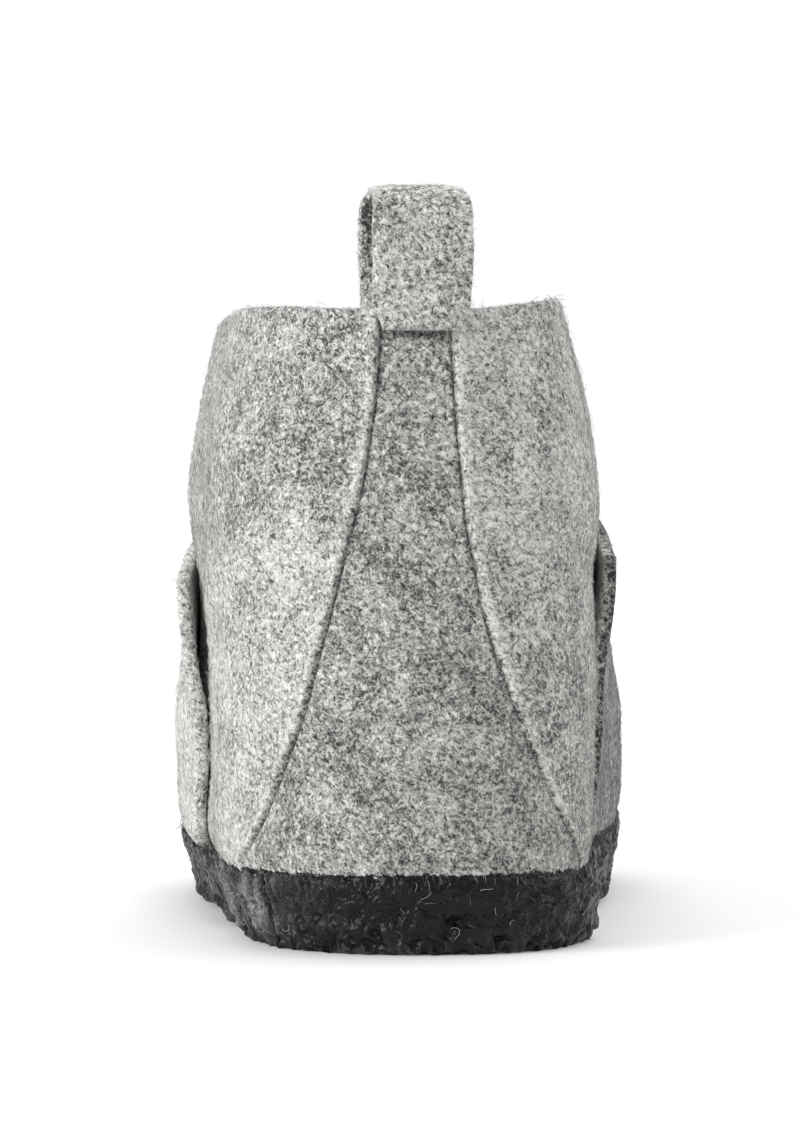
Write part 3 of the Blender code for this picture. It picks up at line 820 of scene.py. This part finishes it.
sides = np.concatenate([-np.ones(len(half_shares)), np.ones(len(half_shares) - 1)])
tops = vamp_top(sides, shares)
height = sheet_heights(tops, 0.025, 62, [1.2, 0.85, 0.55, 0.28, 0.1, 0.0])
side = np.broadcast_to(sides, height.shape)
wing, whole = by_side(grid_wing, height, side), by_side(grid_whole, height, side)
arc = wing + (whole - wing) * shares
place = side * arc / whole
base = on_skin(height, place)
print("rows and columns of the vamp:", height.shape)

# %% How far the vamp stands off the last
inwards = arc - wing
flare = np.where(side < 0, WINGS[-1].flare, WINGS[1].flare) * hump(height, FLARE_HEIGHT, FLARE_SPREAD)
flare = flare * np.clip(1.0 - inwards / FLARE_REACH, 0.0, 1.0) ** 2
relief = fold_relief(VAMP_FOLDS, side, arc, height)
relief = relief + rough_sum(base, [(0.4, 24, 3.0), (0.15, 7, 8.0)]) * MM
relief *= smooth(height, 16 * MM, 26 * MM)
pressed = (side < 0) * press(side, arc, wing, height) * fade(height, 42 * MM, 62 * MM)
bulge = (side > 0) * INNER_BULGE * hump(height, 34 * MM, 16 * MM)
bulge = bulge * fade(inwards, 10 * MM, 40 * MM)
pressed += bulge * smooth(height, 17 * MM, 24 * MM)
middle = LAP_GAP + flare + VAMP_FELT / 2 + relief * 0.8 + pressed
edge = np.minimum(np.minimum(inwards, tops[None, :] - height), height - HEM)
half = (VAMP_FELT / 2 + relief * 0.2) * cut_share(edge)
print("thickest felt of the vamp in mm:", round(2 * half.max() / MM, 1))

# %% Painted shade and light of the vamp, and its piece
# Painted shade darkens the cut edges and the inner side, and painted light brightens the outer side.
# Both sides fade before they meet at the front
VAMP_TONE, OUTER_WING_PAINTED_LIGHT, INNER_WING_PAINTED_SHADE = 0.02, 0.08, -0.32
seen = smooth(height, 16.6 * MM, 18 * MM)
edge_shade = np.where(side < 0, -0.02, -0.07) * fade(inwards, 0.2 * MM, 1.6 * MM)
wing_reach = np.where(side < 0, 90, 190) * MM
near_wing = fade(inwards, 0.4 * wing_reach, wing_reach)
wing_tone_and_shade = np.where(side < 0, OUTER_WING_PAINTED_LIGHT, INNER_WING_PAINTED_SHADE) * near_wing
wing_tone_and_shade = VAMP_TONE + wing_tone_and_shade * smooth(whole - arc, 0.0, 60 * MM)
near_edge = fade(inwards, 1.5 * MM, 6 * MM)
felt_vamp = felt_sheet(
    "felt_vamp", height, place, middle, half, False, light_felt,
    {
        "tone": (wing_tone_and_shade + edge_shade, edge_shade),
        "grow_vamp": (seen, 0.8 * seen * near_edge),
    },
)
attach(felt_vamp, "root")
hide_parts("vamp")

# %% [markdown]
# ## The pull loop
#
# A strap of felt is folded over the collar and sewn to the strip, one end outside and one inside.
# Its middle line is a path in the plane of the heel: up, round a small arch and down again. A rounded
# oblong is swept along that path. The inside leg stands a little to the outer side, which opens the
# loop to the lens.

# %% The loop's middle line
LOOP_WIDTH, LOOP_FELT, LOOP_TOP = 20.0 * MM, 3.0 * MM, 156.6 * MM
LOOP_FOOT_OUTSIDE, LOOP_FOOT_INSIDE, LOOP_INNER_HALF_GAP = 126.6 * MM, 115.0 * MM, 3.8 * MM
LOOP_BEND_INSIDE, LOOP_OUTSIDE_RADIUS, LOOP_INSIDE_RADIUS = 122.5 * MM, 71.0 * MM, 37.0 * MM
LOOP_OVER_SEAMS, LOOP_SHEAR, SEAT_GAP = 0.75 * MM, 0.22, 0.3 * MM
LOOP_STATIONS = 90


def heel_line(height, offset):
    """A point behind the heel, as along and up."""
    return on_skin(np.array(height), np.array(0.0), np.array(offset))[1:]


outside = LOOP_OVER_SEAMS + LOOP_FELT / 2
inside = -QUARTER_FELT - SEAT_GAP - LOOP_FELT / 2
rim = heel_line(COLLAR_HEIGHT, -QUARTER_FELT / 2)
radius = LOOP_INNER_HALF_GAP + LOOP_FELT / 2
crown = LOOP_TOP - LOOP_FELT / 2 - radius
leg = (rim[1] + crown) / 2 + 2 * MM
path = [heel_line(height, outside) for height in (LOOP_FOOT_OUTSIDE, COLLAR_HEIGHT)]
path.append((rim[0] - radius, leg))
for turn in np.linspace(0.0, np.pi, 13):
    path.append((rim[0] - radius * np.cos(turn), crown + radius * np.sin(turn)))
path.append((rim[0] + radius, leg))
path += [heel_line(height, inside) for height in (COLLAR_HEIGHT, LOOP_BEND_INSIDE, LOOP_FOOT_INSIDE)]
path = np.array(path)
walked = walk(path)
for _ in range(3):
    finer = np.linspace(0.0, walked[-1], 4 * LOOP_STATIONS)
    path = np.column_stack([np.interp(finer, walked, path[:, axis]) for axis in (0, 1)])
    kernel = np.ones(9) / 9
    for axis in (0, 1):
        padded = np.pad(path[:, axis], 4, mode="reflect", reflect_type="odd")
        path[:, axis] = np.convolve(padded, kernel, mode="valid")
    walked = walk(path)
print("length of the strap in mm:", round(walked[-1] / MM, 1))
ends = np.array([0.0, 0.08, 0.25, 0.55, 0.9, 1.3]) * MM
between = np.linspace(1.8 * MM, walked[-1] - 1.8 * MM, LOOP_STATIONS)
stops = np.concatenate([ends, between, walked[-1] - ends[::-1]])
path = np.column_stack([np.interp(stops, walked, path[:, axis]) for axis in (0, 1)])
tangent = np.gradient(path, stops, axis=0)
tangent /= np.linalg.norm(tangent, axis=1)[:, None]

# %% The strap swept along it
turns = np.linspace(0.0, 2 * np.pi, 44, endpoint=False)
# An oblong with rounded corners: the further the powers are from a circle's 2, the squarer it is
oblong_x = np.sign(np.cos(turns)) * np.abs(np.cos(turns)) ** (2 / 5.0)
oblong_out = np.sign(np.sin(turns)) * np.abs(np.sin(turns)) ** (2 / 3.2)
closing = cut_share(np.minimum(stops, stops[-1] - stops))
# The strap narrows a little over the crown, and at its sewn ends
narrow = 1.0 - 0.13 * smooth(path[:, 1], LOOP_TOP - 5 * MM, LOOP_TOP) ** 1.5
narrow += 0.03 * hump(path[:, 1], LOOP_TOP - 12 * MM, 7 * MM)
narrow -= 0.20 * fade(stops, 0.5 * MM, 5.5 * MM)
x = (LOOP_WIDTH / 2 * narrow)[:, None] * oblong_x
out = (LOOP_FELT / 2 * closing)[:, None] * oblong_out
free = smooth(path[:, 1], COLLAR_HEIGHT, LOOP_TOP - 8 * MM)[:, None]
seat = np.where(path[:, 0] < rim[0], LOOP_OUTSIDE_RADIUS, LOOP_INSIDE_RADIUS)[:, None]
y = path[:, :1] - out * tangent[:, 1:]
z = path[:, 1:] + out * tangent[:, :1]
sheared, seated = x - LOOP_SHEAR * (y - rim[0]), y + (1.0 - free) * x * x / (2 * seat)
points = np.stack([sheared, seated, z], axis=-1)
lumps = rough_sum(points, [(0.45, 8, 4.0), (0.14, 3, 1.0)]) * MM * free
points[..., 1] += lumps
points[..., 0] += lumps * 0.7
rows, count = x.shape
faces = grid_faces(rows, count, True)
faces += [tuple(range(count))[::-1], tuple(range((rows - 1) * count, rows * count))]
print("width of the strap in mm:", round(2 * x.max() / MM, 1))

# %% Painted shade of the loop, and its piece
# Darker at the cut end, and painted shade inside the loop and down its outer edge
loop_tone_and_shade = np.full(x.shape, -0.02) - 0.12 * fade(stops, 0.0, 1.2 * MM)[:, None]
within = smooth(-out, 0.2 * MM, 1.2 * MM) * free
behind = path[:, :1] > rim[0]
outer_edge = -LOOP_WIDTH / 2
near_strap = smooth(points[..., 0], outer_edge - 2.4 * MM, outer_edge + 0.2 * MM)
loop_tone_and_shade -= 0.42 * within * np.where(behind, near_strap, 1.0)
at_edge = smooth(-x, 0.86 * LOOP_WIDTH / 2, 0.98 * LOOP_WIDTH / 2)
loop_tone_and_shade -= 0.10 * at_edge * free * ~behind
felt_loop = add_piece(
    "felt_loop", points, faces, light_felt, {"tone": loop_tone_and_shade, "grow_loop": 1.0 - 0.85 * within}
)
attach(felt_loop, "root")
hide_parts("pull_loop")

# %% [markdown]
# ## The footbed
#
# Inside lies a thick felt insole with a rounded edge, pressed down a little where the heel and the
# ball of the foot stand. Rings shrink towards the middle line, and rungs close the first and last.

# %% The footbed's mesh
INSOLE_TOP, CUP_GAP = 11.0 * MM, 0.55 * MM


def even_places(count):
    """Places right round, as many on the outer side as on the inner side."""
    return np.arange(count) * 2.0 / count - 1.0


def rungs(start, count):
    """Four-sided faces that close a ring of points from its one side to the other."""
    faces = []
    for step in range(count // 2):
        corners = [step, step + 1, (count - step - 1) % count, (count - step) % count]
        faces.append(tuple(dict.fromkeys(start + corner for corner in corners)))
    return faces


bed_places = even_places(260)
felt_thin = QUARTER_FELT + (LINING_FELT - QUARTER_FELT) * smooth(np.abs(bed_places), 0.42, 0.5)
# Each ring: its height, and how far inwards it lies, in mm
BED_FOOT = HEM + 0.2 * MM
bed_rings = [(BED_FOOT, 3.0), (BED_FOOT, 0.0), (8.5 * MM, 0.05), (10.4 * MM, 0.15)]
bed_rings += [(INSOLE_TOP, inwards) for inwards in (0.7, 1.8, 4.5, 9.0, 15.0, 23.0)]
points = []
for ring_height, inwards in bed_rings:
    level = np.full(bed_places.shape, ring_height)
    ring = on_skin(level, bed_places, -(felt_thin + CUP_GAP + inwards * MM))
    ring[:, 2] = look_up(grid_points, level, bed_places)[:, 2]
    if inwards > 1:
        along = ring[:, 1] + HEEL_REST_ALONG
        trodden = hump(along, 42 * MM, 30 * MM) + hump(along, 180 * MM, 34 * MM)
        ring[:, 2] -= (0.3 + 0.9 * trodden) * MM * smooth(inwards, 1.0, 16.0)
        if ring_height == INSOLE_TOP:
            ring[:, 2] += 0.15 * MM * rough(ring, 12 * MM, 6.0)
    points.append(ring)
count = len(bed_places)
points = np.array(points)
faces = grid_faces(len(bed_rings), count, True)
faces += rungs(0, count) + rungs((len(bed_rings) - 1) * count, count)
felt_footbed = add_piece(
    "felt_footbed", points, faces, footbed_felt,
    {"tone": np.zeros(points.shape[:2]), "grow_bed": points[..., 2] > INSOLE_TOP - 1.5 * MM},
)
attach(felt_footbed, "root")
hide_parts("insole")

# %% [markdown]
# ## The rubber sole
#
# The foot of the felt is dipped in black latex. It clings to the felt, so its top edge is ragged and
# nearly flush, its face is lumpy, and where a seam runs under it the rubber puckers into upright
# ridges. The mesh is a stack of rings, from the ragged edge down and round under the shoe, and the
# lumps are real: each point moves in or out by sums of noise. Nothing may go below the floor.

# %% Rings of the rubber
ARCH_RISE, TOE_SPRING = 3.0 * MM, 8.0 * MM
HEEL_FLAT_END, BALL_FLAT_START, BALL_FLAT_END = 68.0 * MM, 150.0 * MM, 204.0 * MM
CUP_RUN_OUT, INNER_SWELL = 34.0 * MM, 1.4 * MM


def sole_underside(along):
    """Height of the sole's underside: two flat spots, an arch between them, and the toe spring."""
    middle = (HEEL_FLAT_END + BALL_FLAT_START) / 2
    arch = ARCH_RISE * smooth(along, HEEL_FLAT_END, middle) * fade(along, middle, BALL_FLAT_START)
    toe = np.clip((along - BALL_FLAT_END) / (LENGTH - BALL_FLAT_END), 0.0, None)
    return arch + TOE_SPRING * toe**2


# Each ring: the height of its section, how far it stands outside the cup's inner face, both in mm,
# and how much of the way from that section down to the tread it lies
CUP_RINGS = [
    (6.3, -3.0, 0.0), (12.0, -1.2, 0.0), (16.2, -0.9, 0.0), (16.5, -0.75, 0.0),
    (16.45, -0.52, 0.0), (16.2, -0.34, 0.0), (15.8, -0.12, 0.0), (15.2, 0.14, 0.0),
    (14.5, 0.42, 0.0), (13.6, 0.72, 0.0), (12.6, 0.98, 0.0), (11.6, 1.15, 0.0),
    (10.6, 1.26, 0.0), (9.6, 1.3, 0.0), (8.6, 1.3, 0.0), (7.8, 1.2, 0.15),
    (7.2, 0.95, 0.35), (6.9, 0.68, 0.52), (6.6, 0.35, 0.68), (6.4, 0.0, 0.82),
    (6.3, -0.6, 0.93), (6.3, -1.4, 0.985), (6.3, -2.4, 1.0), (6.3, -4.5, 1.0),
    (6.3, -8.0, 1.0), (6.3, -13.0, 1.0), (6.3, -19.0, 1.0), (6.3, -26.0, 1.0),
]
# The rings of the outer face are set closer, so that its lumps have enough points
FACE_FIRST, FACE_LAST, FACE_STEP = 5, 22, 0.42
FINE_RINGS = np.concatenate(
    [
        np.arange(0, FACE_FIRST),
        np.arange(FACE_FIRST, FACE_LAST, FACE_STEP),
        np.arange(FACE_LAST, len(CUP_RINGS)),
    ]
)
ring_numbers = np.arange(len(CUP_RINGS))
cup_rings = [np.interp(FINE_RINGS, ring_numbers, column)[:, None] for column in zip(*CUP_RINGS)]
# Points crowd at the heel, where the lens looks
SOLE_TURNS, FINE_POWER = 1100, 1.5
even = even_places(SOLE_TURNS)
sole_places = np.sign(even) * np.abs(even) ** FINE_POWER
height = np.repeat(cup_rings[0] * MM, SOLE_TURNS, axis=1)
place = np.broadcast_to(sole_places, height.shape)
side = np.where(place >= 0, 1.0, -1.0)
whole, wing = by_side(grid_whole, height, side), by_side(grid_wing, height, side)
arc = np.abs(place) * whole
turned = np.stack([np.cos(np.pi * place), np.sin(np.pi * place), 0 * place], axis=-1) * 0.1
ragged = rough_sum(turned, [(0.55, 2.1, 2.0), (0.42, 0.75, 7.0), (0.3, 0.32, 1.0)])
near_top = smooth(height, 12.5 * MM, 16.2 * MM)
height = height + ragged * MM * near_top
covered = smooth(arc, wing - CUP_RUN_OUT, wing - 0.5 * MM)
down = cup_rings[2]
cup = CUP_GAP + (LAP_GAP + VAMP_FELT) * covered
swollen = INNER_SWELL * (side > 0) * hump(arc, 74 * MM, 24 * MM)
cup += swollen * fade(height, 9 * MM, 14 * MM)
points = on_skin(height, place, cup + cup_rings[1] * MM)
ground = sole_underside(points[..., 1] + HEEL_REST_ALONG)
points[..., 2] += (ground - points[..., 2]) * down
print("rings and turns of the rubber:", height.shape)

# %% Lumps and puckers
# Lumps lie all over the outer face, larger low down
outer_face = ((FINE_RINGS >= FACE_FIRST) & (FINE_RINGS <= FACE_LAST))[:, None]
above_tread = points[..., 2] - ground
low = fade(above_tread, 1.0 * MM, 7.0 * MM)
lumps = rough_sum(points, [(0.5, 5.0, 1.0), (0.34, 2.2, 3.0), (0.08, 0.9, 6.0)])
creased = 0.3 - np.abs(rough(points, 2.6 * MM, 12.0)) * 2.0
lumps += 0.55 * creased + 0.1 * rough(points, 1.3 * MM, 15.0)

# Puckers: upright stripes of noise where a seam or the vamp's edge runs under the rubber
pucker_at = (side < 0) * (hump(arc, 47 * MM, 14 * MM) + 0.8 * hump(arc, 80 * MM, 18 * MM))
pucker_at = pucker_at + (side > 0) * 0.35 * hump(arc, 62 * MM, 12 * MM)
stripes = np.stack([arc * side / (2.3 * MM), points[..., 2] / (14 * MM), 0 * arc], axis=-1)
fine_stripes = np.stack([arc * side / (0.9 * MM), points[..., 2] / (7 * MM), 0 * arc + 4], axis=-1)
pucker = 1.5 * rough(stripes, 1.0) + 0.55 * rough(fine_stripes, 1.0)
upright = smooth(above_tread, 0.5 * MM, 4 * MM) * fade(height, 14.8 * MM, 16.6 * MM)
print("lumps:", round(lumps.min(), 2), "to", round(lumps.max(), 2))

# %% The heel's face, and the points moved
# A ledge, pits, each with its place, reach and depth in mm, and a calm middle
at_heel = points[..., 1] < 0
ledge = 0.6 * hump(points[..., 2], 5.4 * MM, 0.8 * MM) * hump(points[..., 0], -9 * MM, 11 * MM)
move = lumps * (1.1 + 0.9 * low + 0.4 * pucker_at) + 1.3 * pucker * pucker_at * upright
move = move + ledge * at_heel
Pit = namedtuple("Pit", "x z wide high deep")
PITS = [
    Pit(7.4, 6.6, 2.1, 1.2, 1.9), Pit(17.5, 8.9, 1.1, 0.8, 0.7), Pit(-20.5, 7.6, 1.3, 0.8, 0.6),
    Pit(-9.0, 5.0, 1.0, 0.7, 0.6), Pit(26.0, 5.6, 1.2, 0.9, 0.8), Pit(-2.5, 3.4, 1.4, 0.6, 0.6),
]
for pit in PITS:
    dip = hump(points[..., 0], pit.x * MM, pit.wide * MM)
    dip = dip * hump(points[..., 2], pit.z * MM, pit.high * MM)
    move = move - pit.deep * dip * at_heel
calm = hump(points[..., 0], 6 * MM, 16 * MM)
calm = 1.0 - 0.6 * calm * smooth(points[..., 2], 8.5 * MM, 11 * MM)
MOST_IN, MOST_OUT = -2.2, 1.1
move = np.clip(move * np.where(at_heel, calm, 1.0), MOST_IN, MOST_OUT) * MM * outer_face
normals = look_up(grid_normals, height, place)
points = points + move[..., None] * normals * (1.0 - 0.6 * (down > 0.9))[..., None]
points[..., 2] += 1.1 * MM * rough(points, 2.4 * MM, 8.0) * (down > 0.3) * (down < 1.0)
points[..., 2] = np.maximum(points[..., 2], ground)
print("moves of the rubber in mm:", round(move.min() / MM, 1), "to", round(move.max() / MM, 1))

# %% The rubber's faces, its worn places and its lint
faces = grid_faces(len(FINE_RINGS), SOLE_TURNS, True)
faces += rungs(0, SOLE_TURNS) + rungs((len(FINE_RINGS) - 1) * SOLE_TURNS, SOLE_TURNS)

# Where grey wool shows through, and where lint clings
edge_near = smooth(height, 13.8 * MM, 16.0 * MM)
worn = pucker_at * (0.25 + 0.9 * pucker) * upright + 0.12 * low * (0.3 + lumps)
worn = np.clip(worn * np.clip(0.9 + 1.6 * lumps, 0.3, 1.6), 0.0, 1.0)
lint = (outer_face * (points[..., 2] > 4 * MM)) * (0.09 + 1.7 * edge_near + 0.7 * pucker_at)
print("faces of the rubber:", len(faces))

# %% [markdown]
# ### Black latex
#
# Dipped rubber is nearly black and dull, with a skin that is smoother in the middle and full of fine
# pits elsewhere, and grey wool shows through where it is thin. Noise drives the roughness and the
# bump, and the attribute worn brings the grey in, in patches.

# %% Rubber material and sole
BLACKEST, BLACK = (0.0015, 0.0015, 0.0016, 1.0), (0.008, 0.008, 0.0083, 1.0)
WOOL_GREY = (0.46, 0.46, 0.45, 1.0)
SHINIEST, DULLEST = 0.16, 0.4
COLOUR_FROM, COLOUR_TO, MIXED = 6, 7, 2


def mix_colours(tree, share, first, second):
    """A Mix node's colour. A Mix node of colours has its sockets by number."""
    inputs = {"Factor": share, COLOUR_FROM: first, COLOUR_TO: second}
    return add_node(tree, "ShaderNodeMix", inputs, data_type="RGBA").outputs[MIXED]


black_rubber, tree = new_material("dipped_latex")
where = add_node(tree, "ShaderNodeTexCoord").outputs["Object"]
grain = lumpy(tree, where, 1400.0, 3.0).outputs["Fac"]
patches = lumpy(tree, where, 260.0, 3.0).outputs["Fac"]
blisters = lumpy(tree, where, 700.0, 1.0).outputs["Fac"]
wool = maths(tree, "MULTIPLY_ADD", add_strands(tree, where, 1900.0), 0.7, 0.1)
wool = maths(tree, "MULTIPLY", wool, read_value(tree, "worn"), clamp=True)
specks = maths(tree, "MULTIPLY", remap(tree, grain, 0.66, 0.78), 0.16)
wool = maths(tree, "MAXIMUM", wool, specks)
skin_tint = mix_colours(tree, patches, BLACKEST, BLACK)
relief = maths(tree, "MULTIPLY_ADD", patches, 1.5, maths(tree, "MULTIPLY", grain, 0.4))
relief = maths(tree, "MULTIPLY_ADD", blisters, 1.4, relief)
bump = add_node(tree, "ShaderNodeBump", {"Height": relief, "Strength": 1.0, "Distance": 0.4 * MM})
add_surface(
    tree,
    {
        "Base Color": mix_colours(tree, wool, skin_tint, WOOL_GREY),
        "Roughness": remap(tree, patches, 0.3, 0.7, SHINIEST, DULLEST),
        "Normal": bump.outputs[0], "Specular IOR Level": 0.23,
    },
)
rubber_sole = add_piece(
    "rubber_sole", points, faces, black_rubber, {"worn": worn, "grow_lint": lint},
    sharp=math.radians(80),
)
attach(rubber_sole, "root")
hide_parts("outsole")

# %% [markdown]
# ## Wool, hair by hair
#
# What makes felt look like felt is the nap: thousands of short curly hairs that catch the light and
# blur every outline. A hair system would not survive an export, so Geometry Nodes grow it. Points
# are scattered where an attribute allows, and each point gets one of five curled hairs, turned at
# random round the surface's normal. A hair is a thin three-sided tube of two segments with a fine
# tip, about a dozen triangles, because there are many thousands of them. Only the loose hairs that
# stand off the felt and the lint on the rubber are few, long and seen one by one, so they get more.

# %% Geometry Nodes: hairs on a surface
HAIR_SHAPES = [
    ((0, 0, -0.05), (0.15, 0.10, 0.22), (0.55, 0.25, 0.26), (0.95, 0.05, 0.06)),
    ((0, 0, -0.05), (0.30, -0.20, 0.18), (0.75, 0.25, 0.15), (1.20, 0.00, 0.18)),
    ((0, 0, -0.05), (0.10, 0.05, 0.20), (0.40, 0.25, 0.26), (0.80, 0.05, 0.24)),
    ((0, 0, -0.05), (0.10, 0.50, 0.26), (0.85, 0.65, 0.26), (0.70, -0.25, 0.10)),
    ((0, 0, -0.05), (0.45, 0.10, 0.10), (0.60, -0.30, 0.20), (1.05, -0.35, 0.08)),
]
TIP_SHARE = 0.25
nap_tree, given, result = new_group(
    "wool_nap",
    "GeometryNodeTree",
    [
        ("Geometry", "NodeSocketGeometry", None),
        ("Where", "NodeSocketString", "grow"),
        ("Hairs per square metre", "NodeSocketFloat", 100000.0),
        ("Hair length", "NodeSocketFloat", 1.4 * MM),
        ("Slenderness", "NodeSocketFloat", 0.03),
        ("Segments", "NodeSocketInt", 2),
        ("Seed", "NodeSocketInt", 1),
        ("Material", "NodeSocketMaterial", None),
    ],
    [("Geometry", "NodeSocketGeometry")],
)
allowed = add_node(
    nap_tree, "GeometryNodeInputNamedAttribute", {"Name": given.outputs["Where"]}, data_type="FLOAT"
)
most = given.outputs["Hairs per square metre"]
crowd = maths(nap_tree, "MULTIPLY", allowed.outputs["Attribute"], most)
spots = add_node(
    nap_tree, "GeometryNodeDistributePointsOnFaces",
    {"Mesh": given.outputs["Geometry"], "Density": crowd, "Seed": given.outputs["Seed"]},
    distribute_method="RANDOM",
)
profile = add_node(
    nap_tree, "GeometryNodeCurvePrimitiveCircle",
    {"Resolution": 3, "Radius": given.outputs["Slenderness"]},
)
bundle = add_node(nap_tree, "GeometryNodeJoinGeometry")
for corners in HAIR_SHAPES:
    curl = dict(zip(("Start", "Start Handle", "End Handle", "End"), corners))
    line = add_node(
        nap_tree, "GeometryNodeCurvePrimitiveBezierSegment",
        {"Resolution": given.outputs["Segments"], **curl},
    )
    share = add_node(nap_tree, "GeometryNodeSplineParameter").outputs["Factor"]
    taper = remap(nap_tree, share, 0.0, 1.0, 1.0, TIP_SHARE)
    tapered = add_node(
        nap_tree, "GeometryNodeSetCurveRadius", {"Curve": line.outputs[0], "Radius": taper}
    )
    tube = add_node(
        nap_tree, "GeometryNodeCurveToMesh",
        {"Curve": tapered.outputs[0], "Profile Curve": profile.outputs[0], "Fill Caps": True},
    )
    single = add_node(nap_tree, "GeometryNodeGeometryToInstance", {"Geometry": tube.outputs[0]})
    nap_tree.links.new(single.outputs[0], bundle.inputs[0])


def in_use(sockets, name=None):
    """The first socket in use, and of that name where one is given."""
    return next(entry for entry in sockets if entry.enabled and name in (None, entry.name))


def random_value(kind, low, high, seed_shift):
    """A random number for each point, its seed following the tree's own."""
    seed = maths(nap_tree, "ADD", given.outputs["Seed"], seed_shift)
    made = add_node(nap_tree, "FunctionNodeRandomValue", {"Seed": seed}, data_type=kind)
    in_use(made.inputs, "Min").default_value = low
    in_use(made.inputs, "Max").default_value = high
    return in_use(made.outputs)


spin = add_node(nap_tree, "ShaderNodeCombineXYZ", {"Z": random_value("FLOAT", 0.0, 2 * math.pi, 11)})
spin = add_node(nap_tree, "FunctionNodeEulerToRotation", {0: spin.outputs[0]})
turned = add_node(
    nap_tree, "FunctionNodeRotateRotation",
    {0: spots.outputs["Rotation"], 1: spin.outputs[0]}, rotation_space="LOCAL",
)
# Most hairs are short and a few are much longer
longer = maths(nap_tree, "POWER", random_value("FLOAT", 0.0, 1.0, 23), 3.0)
grown = maths(nap_tree, "MULTIPLY_ADD", longer, 0.8, 0.65)
size = maths(nap_tree, "MULTIPLY", grown, given.outputs["Hair length"])
hairs = add_node(
    nap_tree, "GeometryNodeInstanceOnPoints",
    {
        "Points": spots.outputs["Points"], "Instance": bundle.outputs[0], "Pick Instance": True,
        "Instance Index": random_value("INT", 0, len(HAIR_SHAPES) - 1, 37),
        "Rotation": turned.outputs[0], "Scale": size,
    },
)
shaded = add_node(
    nap_tree, "GeometryNodeStoreNamedAttribute",
    {"Geometry": hairs.outputs[0], "Name": "shade"}, data_type="FLOAT", domain="INSTANCE",
)
nap_tree.links.new(random_value("FLOAT", 0.0, 1.0, 51), in_use(shaded.inputs, "Value"))
real = add_node(nap_tree, "GeometryNodeRealizeInstances", {"Geometry": shaded.outputs[0]})
dressed = add_node(
    nap_tree, "GeometryNodeSetMaterial",
    {"Geometry": real.outputs[0], "Material": given.outputs["Material"]},
)
nap_tree.links.new(dressed.outputs[0], result.inputs[0])
print("tree:", nap_tree.name)


# %% Wool material
def wool_material(name, stops):
    """Hairs that differ in grey: stops give the grey for each share of the hairs."""
    material, tree = new_material(name)
    ramp = grey_ramp(tree, read_value(tree, "shade"), stops, (1.0, 1.004, 0.96))
    # The hairs take the painted shade and light of the felt they grow on
    hair_painted_light = maths(tree, "MULTIPLY_ADD", read_value(tree, "tone"), 1.2, 1.0)
    tint = vector_maths(tree, "SCALE", ramp, hair_painted_light)
    add_surface(tree, {"Base Color": tint, "Roughness": 0.8, "Specular IOR Level": 0.25})
    return material


WOOL_GREYS = [(0.0, 0.07), (0.14, 0.18), (0.3, 0.40), (0.7, 0.56), (1.0, 0.74)]
wool = wool_material("grey_wool", WOOL_GREYS)
pale_wool = wool_material("pale_lint", [(0.0, 0.10), (0.4, 0.25), (1.0, 0.55)])
loose_wool = wool_material("loose_wool", [(0.0, 0.12), (0.3, 0.45), (1.0, 0.85)])
print("wools:", wool.name, pale_wool.name, loose_wool.name)

# %% Grow the wool
# name, host, where it grows, hairs to a square metre, their length in mm, slenderness, segments,
# material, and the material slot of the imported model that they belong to
Growth = namedtuple("Growth", "name host where density length slender segments material slot")
rows = [
    ("wool_on_strip", felt_upper, "grow_strip", 2.0e6, 1.4, 0.024, 2, wool, "light_felt"),
    ("wool_on_outer_quarter", felt_upper, "grow_outer", 0.86e6, 1.4, 0.025, 2, wool, "light_felt"),
    ("wool_on_inner_quarter", felt_upper, "grow_inner", 0.86e6, 1.4, 0.025, 2, wool, "light_felt"),
    ("wool_on_lining", felt_upper, "grow_lining", 0.11e6, 1.5, 0.03, 2, wool, "light_felt"),
    ("wool_on_vamp", felt_vamp, "grow_vamp", 0.25e6, 1.6, 0.03, 2, wool, "light_felt"),
    ("wool_on_loop", felt_loop, "grow_loop", 1.7e6, 1.2, 0.025, 2, wool, "light_felt"),
    ("wool_on_footbed", felt_footbed, "grow_bed", 0.06e6, 1.6, 0.03, 2, wool, "footbed_felt"),
    ("loose_hairs", felt_upper, "grow_loose", 0.05e6, 3.4, 0.009, 6, loose_wool, "light_felt"),
    ("lint_on_rubber", rubber_sole, "grow_lint", 0.16e6, 2.4, 0.02, 5, pale_wool, "black_rubber"),
]
GROWTHS = [Growth(*row) for row in rows]
items = nap_tree.interface.items_tree
sockets = {item.name: item.identifier for item in items if item.in_out == "INPUT"}
for seed, growth in enumerate(GROWTHS, start=1):
    host = add_object("host", growth.host.data)
    modifier = host.modifiers.new("wool", "NODES")
    modifier.node_group = nap_tree
    given_values = {
        "Where": growth.where, "Hairs per square metre": growth.density,
        "Hair length": growth.length * MM, "Slenderness": growth.slender,
        "Segments": growth.segments, "Seed": seed, "Material": growth.material,
    }
    for label, value in given_values.items():
        modifier[sockets[label]] = value
    ready = host.evaluated_get(bpy.context.evaluated_depsgraph_get())
    mesh = bpy.data.meshes.new_from_object(ready)
    bpy.data.objects.remove(host)
    mesh.name = growth.name
    mesh.materials.clear()
    mesh.materials.append(growth.material)
    piece = add_object(growth.name, mesh)
    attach(piece, "root")
    print(f"{growth.name}: {len(mesh.polygons)} faces")
